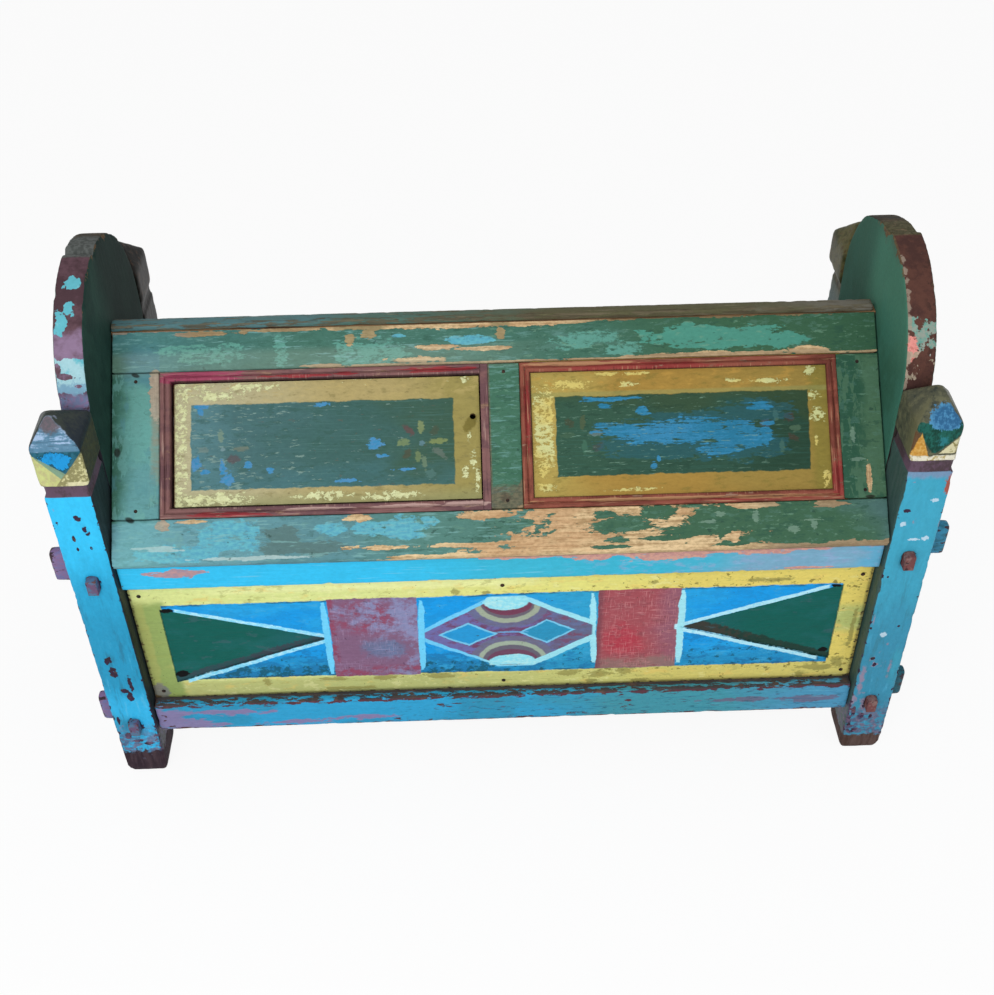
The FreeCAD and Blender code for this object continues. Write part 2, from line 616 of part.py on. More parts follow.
STILES = (
    ("slope_left_stile", f"-{SLOPE_HALF}", DOOR_OPENING_LEFT),
    ("slope_mullion", DOOR_OPENING_RIGHT, FIXED_OPENING_LEFT),
    ("slope_right_stile", FIXED_OPENING_RIGHT, SLOPE_HALF),
)


def slope_nails(name):
    """A nail near each end of each upright of the slope frame."""
    rows = (f"{OPENING_LOW} + slope_nail_distance", f"{OPENING_HIGH} - slope_nail_distance")
    return [slope_nail(f"{name}_{stile}_{row + 1}", f"({left} + {right}) / 2", rows[row])
            for stile, left, right in STILES for row in (0, 1)]


def make_slope_frame():
    """Two full-length rails and three uprights, mortised, nailed and grooved for the panel."""
    whole_length = (f"-{SLOPE_HALF}", SLOPE_HALF)
    nosing_span = ("-slope_nosing_radius", "slope_nosing_radius")
    nosing_corner = block("slope_nosing_corner",
                          (f"-{SLOPE_HALF} - cut_overrun", f"{SLOPE_HALF} + cut_overrun"),
                          nosing_span, nosing_span)
    nosing_round = rod("slope_nosing_round", "slope_nosing_radius", "x",
                       (f"-{SLOPE_HALF} - cut_overrun", "slope_nosing_radius", "-slope_nosing_radius"),
                       f"2 * ({SLOPE_HALF} + cut_overrun)")
    nosing = trimmed("slope_nosing_tool", nosing_corner, [nosing_round])
    rails = (("slope_bottom_rail", ("0", OPENING_LOW), nosing),
             ("slope_top_rail", (OPENING_HIGH, f"{SLOPE_LENGTH} + cut_overrun / 2"),
              plumb_end_tool("slope_top_plumb_cut", 1)))
    for name, v, end_tool in rails:
        tools = [end_tool, fixed_panel_space(f"{name}_groove", "fixed_panel_tongue"),
                 pivot_sockets(f"{name}_pivot_socket")]
        for stile, left, right in STILES:
            tools.append(stile_tenon(f"{name}_{stile}_mortise", left, right, OPENING_LOW, OPENING_HIGH))
        lay_on_front_slope(trimmed(name, block(f"{name}_bar", whole_length, v, (W_BOTTOM, W_TOP)), tools))
    for name, left, right in STILES:
        bar = joined(f"{name}_blank", [
            block(f"{name}_bar", (left, right), (OPENING_LOW, OPENING_HIGH), (W_BOTTOM, W_TOP)),
            stile_tenon(f"{name}_tenons", left, right, OPENING_LOW, OPENING_HIGH)])
        tools = slope_nails(f"{name}_hole") + [fixed_panel_space(f"{name}_groove", "fixed_panel_tongue")]
        lay_on_front_slope(trimmed(name, bar, tools))
    lay_on_front_slope(grouped("slope_nails", slope_nails("slope_nail")))


def mitre_tool(name, u, v, inward_u, inward_v, along, low):
    """The space past a 45 degree mitre whose outer corner is at u, v."""
    diagonals = {(1, 1): 45, (-1, 1): 135, (-1, -1): 225, (1, -1): 315}
    along_mitre = diagonals[(inward_u, inward_v)]
    away = (-inward_u, inward_v) if along == "u" else (inward_u, -inward_v)
    across = diagonals[away]
    first = across if (across + 90) % 360 == along_mitre else along_mitre
    tool = doc.addObject("Part::Box", name)
    turn(tool, (0, 0, 1), first)
    for side in ("Length", "Width"):
        tool.setExpression(side, bound("moulding_width + cut_overrun"))
    tool.setExpression("Height", bound(f"cut_overrun - ({low})"))
    place(tool, u, v, low)
    return tool


def moulding(name, along, u, v, low, mitres, extra_tools=()):
    """A strip with two round beads and a groove between them, mitred where strips meet."""
    bead_w = "(moulding_rise - moulding_bead_radius)"
    pieces = [block(f"{name}_strip", u, v, (low, bead_w))]
    across = v if along == "u" else u
    ends = u if along == "u" else v
    for count, centre in enumerate((f"({across[0]}) + moulding_bead_radius",
                                    f"({across[1]}) - moulding_bead_radius"), start=1):
        start = (ends[0], centre, bead_w) if along == "u" else (centre, ends[0], bead_w)
        pieces.append(rod(f"{name}_bead_{count}", "moulding_bead_radius", "x" if along == "u" else "y",
                          start, f"{ends[1]} - ({ends[0]})"))
    tools = [mitre_tool(f"{name}_mitre_{count}", *corner, along, low)
             for count, corner in enumerate(mitres, start=1)] + list(extra_tools)
    lay_on_front_slope(trimmed(name, joined(f"{name}_blank", pieces), tools))


def make_mouldings():
    """Beaded strips round both openings, and the plain strip that the door closes against."""
    inside_left = f"({DOOR_OPENING_LEFT} + moulding_width)"
    inside_low = f"({OPENING_LOW} + moulding_width)"
    inside_high = f"({OPENING_HIGH} - moulding_width)"
    strip_left = f"({DOOR_OPENING_RIGHT} - closing_strip_width)"
    low_corner = (DOOR_OPENING_LEFT, OPENING_LOW, 1, 1)
    high_corner = (DOOR_OPENING_LEFT, OPENING_HIGH, 1, -1)
    moulding("door_moulding_left", "v", (DOOR_OPENING_LEFT, inside_left), (OPENING_LOW, OPENING_HIGH),
             W_BOTTOM, [low_corner, high_corner])
    moulding("door_moulding_bottom", "u", (DOOR_OPENING_LEFT, strip_left), (OPENING_LOW, inside_low),
             W_BOTTOM, [low_corner], [pivot_sockets("door_moulding_bottom_socket")])
    moulding("door_moulding_top", "u", (DOOR_OPENING_LEFT, strip_left), (inside_high, OPENING_HIGH),
             W_BOTTOM, [high_corner], [pivot_sockets("door_moulding_top_socket")])
    lay_on_front_slope(grouped("door_closing_strip", [
        block("door_closing_strip_bar", (strip_left, DOOR_OPENING_RIGHT), (OPENING_LOW, OPENING_HIGH),
              (W_BOTTOM, "-board_gap"))]))
    left, right = FIXED_OPENING_LEFT, FIXED_OPENING_RIGHT
    seat = "-panel_recess"
    corners = {(word_u, word_v): (u, v, 1 if word_u == "left" else -1, 1 if word_v == "bottom" else -1)
               for word_u, u in (("left", left), ("right", right))
               for word_v, v in (("bottom", OPENING_LOW), ("top", OPENING_HIGH))}
    for word, u in (("left", (left, f"{left} + moulding_width")),
                    ("right", (f"{right} - moulding_width", right))):
        moulding(f"fixed_moulding_{word}", "v", u, (OPENING_LOW, OPENING_HIGH), seat,
                 [corners[(word, "bottom")], corners[(word, "top")]])
    for word, v in (("bottom", (OPENING_LOW, inside_low)), ("top", (inside_high, OPENING_HIGH))):
        moulding(f"fixed_moulding_{word}", "u", (left, right), v, seat,
                 [corners[("left", word)], corners[("right", word)]])


def make_fixed_panel():
    """The painted panel that is held in the frame's grooves."""
    board = fixed_panel_space("fixed_panel_board", "(fixed_panel_tongue - fit_gap)")
    lay_on_front_slope(grouped("fixed_panel", [board]))


def make_door():
    """The lifting door: its hinge edge is rounded about the wooden pivots, with a pull hole."""
    w = (f"-(panel_recess + {DOOR_THICKNESS})", "-panel_recess")
    board = joined("door_panel_blank", [
        block("door_panel_board", (PIVOT_U, DOOR_RIGHT), (DOOR_LOW, DOOR_HIGH), w),
        pivot_rod("door_panel_round", f"{DOOR_THICKNESS} / 2", DOOR_LOW, DOOR_HIGH)])
    hole = rod("door_panel_pull_hole", "pull_hole_radius", "z",
               (f"{DOOR_RIGHT} - pull_hole_edge_distance",
                f"{DOOR_LOW} + pull_hole_rise_share * ({DOOR_HIGH} - {DOOR_LOW})",
                f"-(panel_recess + {DOOR_THICKNESS} + cut_overrun)"), "2 * cut_overrun")
    bores = [pivot_rod("door_panel_low_bore", "pivot_radius", DOOR_LOW, f"{DOOR_LOW} + pivot_root_length"),
             pivot_rod("door_panel_high_bore", "pivot_radius", f"{DOOR_HIGH} - pivot_root_length", DOOR_HIGH)]
    lay_on_front_slope(trimmed("door_panel", board, [hole] + bores))
    ends = ((f"{OPENING_LOW} - pivot_socket_depth + fit_gap", f"{DOOR_LOW} + pivot_root_length"),
            (f"{DOOR_HIGH} - pivot_root_length", f"{OPENING_HIGH} + pivot_socket_depth - fit_gap"))
    lay_on_front_slope(grouped("door_pivot_pins", [
        pivot_rod(f"door_pivot_pin_{count}", "pivot_radius", low, high)
        for count, (low, high) in enumerate(ends, start=1)]))
    past_rail = (f"({SLOPE_FOOT_Y} - {RAIL_INSIDE_Y}) / cos({SLOPE_ANGLE})"
                 f" - slope_thickness * tan({SLOPE_ANGLE}) + fit_gap")
    inside = {"lower": (past_rail, f"{DOOR_LOW} + stop_bearing"),
              "upper": (f"{DOOR_HIGH} - stop_bearing", f"{DOOR_HIGH} - stop_bearing + stop_width")}
    for word, v in inside.items():
        name = f"door_stop_{word}_batten"
        lay_on_front_slope(grouped(name, [block(f"{name}_bar", (DOOR_OPENING_LEFT, DOOR_OPENING_RIGHT), v,
                                                ("-(slope_thickness + stop_thickness)", W_BOTTOM))]))


def check_and_export():
    """Refuse a failed object or an unsound shape, then write one file for each sub-part."""
    doc.recompute()
    for item in doc.Objects:
        if "Invalid" in item.State or "Error" in item.State:
            raise RuntimeError(f"{item.Label} failed: {item.State}")
    for piece in parts:
        if piece.Shape.isNull() or not piece.Shape.isValid() or not piece.Shape.Solids:
            raise RuntimeError(f"{piece.Label} has no sound shape")
    os.makedirs("parts", exist_ok=True)
    for piece in parts:
        piece.Shape.exportStep(f"parts/{piece.Label}.step")
        print(piece.Label, len(piece.Shape.Solids), "solids", round(piece.Shape.Volume / 1000), "cm3")
    print(len(parts), "sub-parts")


for word_y, sign_y in (("front", -1), ("rear", 1)):
    for word_x, sign_x in (("left", -1), ("right", 1)):
        make_post(f"{word_y}_{word_x}_post", sign_x, sign_y)
    make_long_rails(word_y, sign_y)
    make_wall_nails(word_y, sign_y)
keep(grouped("tenon_pegs", [peg(f"tenon_peg_{word}_{sign_x + 2}_{sign_y + 2}", sign_x, sign_y, level)
                            for word, level in LEVELS for sign_x in (-1, 1) for sign_y in (-1, 1)]))
make_front_panel()
make_rear_panel()
make_side("left", -1)
make_side("right", 1)
make_ridge()
make_floor()
make_rear_slope()
make_slope_frame()
make_mouldings()
make_fixed_panel()
make_door()
check_and_export()
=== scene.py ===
"""Damchiya chest: worn wooden pieces with layered, hand-painted surfaces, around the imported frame.

Metres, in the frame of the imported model: the origin is the middle of the footprint on the
floor, +X runs to the right along the chest, the front faces -Y and +Z is up.
"""
import json
import math

import bpy
import numpy as np
from mathutils import Matrix, Vector

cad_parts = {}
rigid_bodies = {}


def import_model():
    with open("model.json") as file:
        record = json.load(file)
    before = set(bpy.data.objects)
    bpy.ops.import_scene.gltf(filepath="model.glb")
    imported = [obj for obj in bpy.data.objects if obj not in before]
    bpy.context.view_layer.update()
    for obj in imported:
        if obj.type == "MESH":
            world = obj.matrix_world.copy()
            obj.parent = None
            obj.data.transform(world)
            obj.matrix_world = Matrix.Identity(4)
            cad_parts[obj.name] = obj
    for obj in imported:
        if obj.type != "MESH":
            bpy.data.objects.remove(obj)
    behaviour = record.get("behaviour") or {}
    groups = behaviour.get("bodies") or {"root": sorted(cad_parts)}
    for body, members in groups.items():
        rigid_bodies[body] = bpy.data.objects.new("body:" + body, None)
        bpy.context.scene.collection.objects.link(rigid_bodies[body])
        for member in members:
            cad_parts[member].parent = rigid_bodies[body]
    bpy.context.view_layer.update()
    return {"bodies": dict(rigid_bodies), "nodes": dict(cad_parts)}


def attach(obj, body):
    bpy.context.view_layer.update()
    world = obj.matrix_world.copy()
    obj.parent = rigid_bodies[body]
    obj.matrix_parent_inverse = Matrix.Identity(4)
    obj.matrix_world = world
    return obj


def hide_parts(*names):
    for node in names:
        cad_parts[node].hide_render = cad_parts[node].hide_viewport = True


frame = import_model()
NODES = frame["nodes"]
MM = 0.001

# The front slope: its foot line, its angle, and how flat-drawn places lie on it
SLOPE_FOOT_Y = -0.298
SLOPE_FOOT_Z = 0.536
SLOPE_ANGLE = math.atan2(0.256, 0.287)
SLOPE_TURN = Matrix.Rotation(SLOPE_ANGLE, 4, "X")
SLOPE_PLACE = Matrix.Translation((0, SLOPE_FOOT_Y, SLOPE_FOOT_Z)) @ SLOPE_TURN


# Worn geometry
def lattice(x, y, z, seed):
    """A number from 0 to 1 for each whole-number place, from a hash with large odd factors."""
    code = (x * 374761393 + y * 668265263 + z * 1103515245 + seed * 12345701) & 0xFFFFFFFF
    code = ((code ^ (code >> 13)) * 1274126177) & 0xFFFFFFFF
    return ((code ^ (code >> 16)) & 0xFFFF) / 0xFFFF


def noise(points, size, seed, octaves=3):
    """Smooth noise from -1 to 1; size is the width of its largest lumps, one number or three."""
    total, weight, scale = np.zeros(len(points)), 0.0, np.asarray(size, float)
    for octave in range(octaves):
        where = points / scale
        cell = np.floor(where).astype(np.int64)
        part = where - cell
        part = part * part * (3 - 2 * part)
        value = np.zeros(len(points))
        for corner in range(8):
            dx, dy, dz = corner & 1, corner >> 1 & 1, corner >> 2 & 1
            share = (part[:, 0] if dx else 1 - part[:, 0]) * (part[:, 1] if dy else 1 - part[:, 1])
            share = share * (part[:, 2] if dz else 1 - part[:, 2])
            value += share * lattice(cell[:, 0] + dx, cell[:, 1] + dy, cell[:, 2] + dz, seed + octave)
        total += value / 2 ** octave
        weight += 0.5 ** octave
        scale = scale / 2
    return total / weight * 2 - 1


def smoothstep(value, low, high):
    share = np.clip((value - low) / (high - low), 0, 1)
    return share * share * (3 - 2 * share)


def remeshed(node, voxel, turn):
    """An even mesh over a node's solids, seen in a turned frame."""
    mesh = NODES[node].data.copy()
    mesh.transform(turn.inverted())
    proxy = bpy.data.objects.new("remesh_proxy", mesh)
    bpy.context.scene.collection.objects.link(proxy)
    even = proxy.modifiers.new("even", "REMESH")
    even.mode = "VOXEL"
    even.voxel_size = voxel
    even.adaptivity = 0.0
    graph = bpy.context.evaluated_depsgraph_get()
    made = bpy.data.meshes.new_from_object(proxy.evaluated_get(graph))
    bpy.data.objects.remove(proxy)
    bpy.data.meshes.remove(mesh)
    return made


def body_name(node):
    return next(name for name, empty in frame["bodies"].items() if NODES[node].parent is empty)


def place_array(mesh):
    flat = np.empty(len(mesh.vertices) * 3)
    mesh.vertices.foreach_get("co", flat)
    return flat.reshape(-1, 3)


def normal_array(mesh):
    flat = np.empty(len(mesh.vertices) * 3)
    mesh.vertex_normals.foreach_get("vector", flat)
    return flat.reshape(-1, 3)


EDGE_PASSES = 10        # smoothing passes that show how far an edge stands out
EDGE_REACH = 0.46875    # an edge that stands out this many voxels counts in full
SPREAD_PASSES = 3       # passes that spread the wear beside an edge
CHIP_WIDTH, NICK_WIDTH, WAVE_WIDTH = 0.022, 0.007, 0.09


def worn_piece(node, voxel, rounding, chip, wave, seed, sloped, extra=None, carve=None, bend=None):
    """A worn copy of a node that stands for it: rounded, chipped edges and slightly uneven faces.

    rounding is the number of smoothing passes, chip the deepest edge loss and wave the depth
    of the unevenness, in metres. extra gives a number of more passes and their share at each
    place, carve an inward depth, and bend moves places before all else.
    """
    turn = SLOPE_PLACE if sloped else Matrix.Identity(4)
    mesh = remeshed(node, voxel, turn)
    at = place_array(mesh)
    ends = np.empty(len(mesh.edges) * 2, np.int64)
    mesh.edges.foreach_get("vertices", ends)
    ends = ends.reshape(-1, 2)
    degree = np.maximum(np.bincount(ends.ravel(), minlength=len(at)), 1)[:, None]

    def relax(places, share):
        around = np.stack([
            np.bincount(ends[:, 0], places[ends[:, 1], axis], len(places))
            + np.bincount(ends[:, 1], places[ends[:, 0], axis], len(places))
            for axis in range(3)], 1)
        return places + (around / degree - places) * share

    if bend is not None:
        at = bend(at.copy())
        mesh.vertices.foreach_set("co", at.ravel())
        mesh.update()
    smooth = at
    for _ in range(EDGE_PASSES):
        smooth = relax(smooth, 0.6)
    normals = normal_array(mesh)
    edge = np.clip(((at - smooth) * normals).sum(1) / (voxel * EDGE_REACH), 0, 1)
    for _ in range(rounding):
        at = relax(at, 0.5)
    if extra is not None:
        count, mask = extra
        share = mask(at)[:, None] * 0.6
        for _ in range(count):
            at = relax(at, share)
    spread = edge
    for _ in range(SPREAD_PASSES):
        spread = relax(np.repeat(spread[:, None], 3, 1), 0.7)[:, 0]
    mesh.vertices.foreach_set("co", at.ravel())
    mesh.update()
    normals = normal_array(mesh)
    loss = chip * spread * smoothstep(noise(at, CHIP_WIDTH, seed), 0.05, 0.75)
    loss += chip * 0.35 * spread * (0.5 + 0.5 * noise(at, NICK_WIDTH, seed + 40, 2))
    loss += wave * (0.5 + 0.5 * noise(at, WAVE_WIDTH, seed + 80))
    if carve is not None:
        loss += carve(at)
    at = at - normals * loss[:, None]
    mesh.vertices.foreach_set("co", at.ravel())
    wear = mesh.attributes.new("edge", "FLOAT", "POINT")
    wear.data.foreach_set("value", np.clip(spread * 1.2, 0, 1).astype(np.float32))
    mesh.transform(turn)
    mesh.polygons.foreach_set("use_smooth", np.ones(len(mesh.polygons), bool))
    mesh.update()
    piece = bpy.data.objects.new(f"{node}_worn", mesh)
    bpy.context.scene.collection.objects.link(piece)
    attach(piece, body_name(node))
    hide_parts(node)
    return piece


def softened(node, width):
    """A carried-over node with its flat faces merged and its edges eased."""
    piece = NODES[node]
    weld = piece.modifiers.new("weld", "WELD")
    weld.merge_threshold = 0.00001
    flat = piece.modifiers.new("flat", "DECIMATE")
    flat.decimate_type = "DISSOLVE"
    flat.angle_limit = math.radians(1)
    ease = piece.modifiers.new("ease", "BEVEL")
    ease.width = width
    ease.segments = 2
    ease.limit_method = "ANGLE"
    ease.angle_limit = math.radians(40)
    ease.harden_normals = False


def foot_and_finial(at):
    """More smoothing at the worn foot and over the finial of a post."""
    foot = 0.3 * smoothstep(-at[:, 2], -0.05, -0.008)
    finial = 0.22 * smoothstep(at[:, 2], 0.695, 0.71)
    return np.maximum(foot, finial)


def tenon_end(at):
    """More smoothing at the worn ends of the through tenons."""
    return smoothstep(abs(at[:, 0]), 0.702, 0.716)


FACET_DEPTH, FACET_SOFT = 0.003, 0.003


def below(at, start, end):
    """A share that grows to 1 below a line across the front, from start to end in millimetres."""
    (a, b), (c, d) = start, end
    length = math.hypot(c - a, d - b)
    over = ((at[:, 0] / MM - a) * (b - d) + (at[:, 2] / MM - b) * (c - a)) / length * MM
    return smoothstep(-over, 0, FACET_SOFT)


def cut_corners(left, right):
    """Shallow facets cut into the two lower corners of a finial's front face."""
    def carve(at):
        face = smoothstep(-at[:, 1], 0.284, 0.290) * smoothstep(at[:, 2], 0.704, 0.707)
        return FACET_DEPTH * face * np.maximum(below(at, *left), below(at, *right))
    return carve


def left_finial(at):
    """The left point leans outward and starts a little higher than the right one."""
    rise = smoothstep(at[:, 2], 0.750, 0.771) * (1 - smoothstep(at[:, 2], 0.772, 0.811))
    at[:, 0] -= 0.007 * smoothstep(at[:, 2], 0.771, 0.811)
    at[:, 2] += 0.006 * rise
    return at


def right_finial(at):
    """The right finial is worn down on its outer side."""
    high = smoothstep(at[:, 2], 0.698, 0.712)
    at[:, 0] -= 0.005 * high * smoothstep(at[:, 0], 0.650, 0.702)
    return at


def right_ear_bend(at):
    """The rear lobe of the right end board is worn lower than the front one."""
    at[:, 2] -= 0.010 * smoothstep(at[:, 2], 0.880, 0.930) * smoothstep(at[:, 1], 0.0, 0.012)
    return at


def rear_right_bend(at):
    """The rear right post is thinned on its inner side below the finial."""
    thin = smoothstep(at[:, 2], 0.590, 0.620) * (1 - smoothstep(at[:, 2], 0.700, 0.712))
    at[:, 0] += 0.010 * thin * (1 - smoothstep(at[:, 0], 0.626, 0.660))
    return at


# Worn pieces: voxel, smoothing passes, chip and wave depths in metres, first seed, and the nodes
WORN = (
    (0.0028, 3, 0.0035, 0.0004, 10, ("front_left_post", "front_right_post")),
    (0.0035, 3, 0.0035, 0.0004, 12, ("rear_left_post", "rear_right_post")),
    (0.0020, 4, 0.0015, 0.0005, 20, ("tenon_pegs",)),
    (0.0032, 3, 0.0028, 0.0004, 30, ("left_ear_board", "right_ear_board")),
    (0.0030, 2, 0.0025, 0.0004, 40, ("front_upper_rail", "front_lower_rail")),
    (0.0045, 2, 0.0025, 0.0004, 42, ("rear_upper_rail", "rear_lower_rail")),
    (0.0040, 2, 0.0030, 0.0005, 50, ("left_lower_side_rail", "left_upper_side_rail",
                                     "right_lower_side_rail", "right_upper_side_rail")),
    (0.0025, 2, 0.0015, 0.0004, 60, ("ridge_cap",)),
    (0.0030, 1, 0.0012, 0.0002, 70, ("slope_bottom_rail", "slope_top_rail")),
    (0.0030, 1, 0.0010, 0.0002, 75, ("slope_left_stile", "slope_mullion", "slope_right_stile")),
    (0.0045, 2, 0.0030, 0.0010, 81, [f"rear_slope_board_{number}" for number in range(1, 7)]),
    (0.0045, 2, 0.0030, 0.0008, 90, ("rear_panel_lower_board", "rear_panel_upper_board")),
)
# What single worn pieces have of their own; finial corners are cut below lines from start to end
SHAPED = {
    "front_left_post": {"bend": left_finial,
                        "carve": cut_corners(((-701, 766), (-658, 729)), ((-652, 731), (-624, 768)))},
    "front_right_post": {"bend": right_finial,
                         "carve": cut_corners(((624, 766), (651, 716)), ((664, 721), (702, 759)))},
    "rear_right_post": {"bend": rear_right_bend},
    "right_ear_board": {"bend": right_ear_bend},
}
POST_EXTRA = (22, foot_and_finial)
LONG_RAIL_EXTRA = (14, tenon_end)
LONG_RAILS = ("front_upper_rail", "front_lower_rail", "rear_upper_rail", "rear_lower_rail")
# Eased edges of the pieces that are carried over, in metres
SMALL_EASE, MOULDING_EASE, BOARD_EASE = 0.0004, 0.0003, 0.0008


def build():
    """Every visible piece by its node: worn copies first, then the nodes that are carried over."""
    made = {}
    for voxel, rounding, chip, wave, first_seed, nodes in WORN:
        for number, node in enumerate(nodes):
            more = dict(SHAPED.get(node, {}))
            if node.endswith("_post"):
                more["extra"] = POST_EXTRA
            elif node in LONG_RAILS:
                more["extra"] = LONG_RAIL_EXTRA
            made[node] = worn_piece(node, voxel, rounding, chip, wave, first_seed + number,
                                    sloped=node.startswith("slope_"), **more)
    for node in NODES:
        if node in made:
            continue
        if node.endswith("_nails") or node == "door_pivot_pins":
            width = SMALL_EASE
        else:
            thin = node.startswith(("fixed_moulding", "door_moulding"))
            width = MOULDING_EASE if thin else BOARD_EASE
        softened(node, width)
        made[node] = NODES[node]
    return made


pieces = build()


# Surfaces
def linear(code):
    """The shader's numbers for a colour given by its six digits."""
    parts = [int(code[start:start + 2], 16) / 255 for start in (0, 2, 4)]
    return (*(p / 12.92 if p <= 0.04045 else ((p + 0.055) / 1.055) ** 2.4 for p in parts), 1.0)


class Field:
    """A number at every place of a surface, worked out by one material's nodes."""

    def __init__(self, paint, socket):
        self.paint, self.socket = paint, socket

    def __add__(self, other):
        return self.paint.math("ADD", self, other)

    def __sub__(self, other):
        return self.paint.math("SUBTRACT", self, other)

    def __rsub__(self, other):
        return self.paint.math("SUBTRACT", other, self)

    def __mul__(self, other):
        return self.paint.math("MULTIPLY", self, other)

    def __and__(self, other):
        return self.paint.math("MINIMUM", self, other)

    def __or__(self, other):
        return self.paint.math("MAXIMUM", self, other)

    def __invert__(self):
        return self.paint.math("SUBTRACT", 1.0, self)

    def __abs__(self):
        return self.paint.math("ABSOLUTE", self)

    __radd__, __rmul__ = __add__, __mul__

    def ramp(self, low, high, start=0.0, end=1.0):
        """A smooth rise from start to end while this number goes from low to high."""
        inputs = {"Value": self, "From Min": low, "From Max": high, "To Min": start, "To Max": end}
        made = self.paint.node("ShaderNodeMapRange", inputs, interpolation_type="SMOOTHSTEP")
        return Field(self.paint, made.outputs["Result"])

    def blend(self, first, second, low, high):
        """A colour that turns from the first to the second while this number goes from low to high."""
        return self.paint.mix(first, second, self.ramp(low, high))

    def moved(self, noise, amount):
        """This number moved to and fro by a noise field."""
        return self.paint.math("MULTIPLY_ADD", noise, float(amount), self)


LUMPS_GAIN = 4.0    # brings the noise texture's 0 to 1 to about -1 to 1
PAINT_IOR = 1.18    # low, for dull old paint


class Paint:
    """The nodes of one material; places are in millimetres of the object or of the flat slope."""

    def __init__(self, name, plane="front"):
        self.material = bpy.data.materials.new(name)
        self.material.use_nodes = True
        self.nodes = self.material.node_tree.nodes
        self.links = self.material.node_tree.links
        self.shader = self.nodes["Principled BSDF"]
        source = self.node("ShaderNodeTexCoord")
        where = {"Vector": source.outputs["Object"], "Scale": (MM, MM, MM)}
        side = {"front": 0, "slope": 1, "rear": -1}[plane]
        if side:
            where["Location"] = (0, side * SLOPE_FOOT_Y, SLOPE_FOOT_Z)
            where["Rotation"] = (side * SLOPE_ANGLE, 0, 0)
        flat = self.node("ShaderNodeMapping", where, vector_type="TEXTURE")
        self.x, self.y, self.z = self.split(flat.outputs[0])
        self.place = self.joined(self.x, self.y, self.z)
        self.facing = self.split(source.outputs["Normal"])
        self.across, self.up = self.x, self.y if plane == "slope" else self.z
        self.plan = self.joined(self.across, self.up, 1.0)
        wear = self.node("ShaderNodeAttribute", attribute_name="edge")
        self.edge = Field(self, wear.outputs["Fac"])
        self.colour = linear("808080")

    def node(self, kind, inputs=(), **settings):
        """A new node; inputs are linked or set, settings are the node's own."""
        made = self.nodes.new(kind)
        for key, value in settings.items():
            setattr(made, key, value)
        for key, value in dict(inputs).items():
            value = value.socket if isinstance(value, Field) else value
            if isinstance(value, bpy.types.NodeSocket):
                self.links.new(value, made.inputs[key])
            else:
                made.inputs[key].default_value = value
        return made

    def split(self, vector):
        parts = self.node("ShaderNodeSeparateXYZ", {0: vector}).outputs
        return [Field(self, part) for part in parts]

    def joined(self, *parts):
        return self.node("ShaderNodeCombineXYZ", dict(zip("XYZ", parts))).outputs[0]

    def math(self, operation, first, second=0.0, third=0.0):
        inputs = {0: first, 1: second, 2: third}
        return Field(self, self.node("ShaderNodeMath", inputs, operation=operation).outputs[0])

    def vector(self, operation, first, second=(0, 0, 0), third=(0, 0, 0)):
        inputs = {0: first, 1: second, 2: third}
        made = self.node("ShaderNodeVectorMath", inputs, operation=operation)
        number = operation in ("DOT_PRODUCT", "LENGTH")
        return Field(self, made.outputs["Value"]) if number else made.outputs["Vector"]

    def noise(self, size, seed, detail, rough=0.55):
        """Smooth noise, mostly from -1 to 1, with lumps of a size given for all or for each axis."""
        size = size if isinstance(size, tuple) else (size, size, size)
        inputs = {"Vector": self.place, "Scale": [1 / part for part in size],
                  "Location": (seed * 7.31, seed * 3.17, seed * 5.73)}
        where = self.node("ShaderNodeMapping", inputs).outputs[0]
        lumps = self.node("ShaderNodeTexNoise",
                          {"Vector": where, "Scale": 1.0, "Detail": detail, "Roughness": rough})
        return self.math("MULTIPLY_ADD", Field(self, lumps.outputs[0]), LUMPS_GAIN, -LUMPS_GAIN / 2)

    def shaken(self, size, amount, seed):
        """The plan with each place moved a little, for lines drawn by hand."""
        return self.joined(self.across.moved(self.noise(size, seed, 2.0), amount),
                           self.up.moved(self.noise(size, seed + 0.5, 2.0), amount), 1.0)

    def line(self, start, end):
        """Millimetres to the left of the line from start to end."""
        (a, b), (c, d) = start, end
        length = math.hypot(c - a, d - b)
        normal = ((b - d) / length, (c - a) / length)
        return self.vector("DOT_PRODUCT", self.plan, (*normal, -(normal[0] * a + normal[1] * b)))

    def box(self, low, high, bottom, top, turn=0.0):
        """Millimetres inside a rectangle's border, less than nothing outside it."""
        along, aside = self.turned((low + high) / 2, (bottom + top) / 2, turn)
        return ((high - low) / 2 - abs(along)) & ((top - bottom) / 2 - abs(aside))

    def turned(self, across, up, turn):
        """Millimetres from a point along two turned axes."""
        c, s = math.cos(math.radians(turn)), math.sin(math.radians(turn))
        return (self.vector("DOT_PRODUCT", self.plan, (c, s, -(c * across + s * up))),
                self.vector("DOT_PRODUCT", self.plan, (-s, c, s * across - c * up)))

    def oval(self, across, up, wide, tall, turn=0.0):
        """1 at an oval's centre, 0 on its border; wide and tall are its half sizes."""
        if not turn:
            scaled = self.vector("MULTIPLY_ADD", self.plan, (1 / wide, 1 / tall, 0),
                                 (-across / wide, -up / tall, 0))
            return 1.0 - self.vector("LENGTH", scaled)
        along, aside = self.turned(across, up, turn)
        aside = aside * (1 / tall)
        squares = self.math("MULTIPLY_ADD", aside, aside, (along * along) * (1 / wide ** 2))
        return 1.0 - self.math("SQRT", squares)

    def spots(self, *ovals):
        """The highest of several ovals, each given by its centre, half sizes and turn."""
        reach = self.oval(*ovals[0])
        for oval in ovals[1:]:
            reach = reach | self.oval(*oval)
        return reach

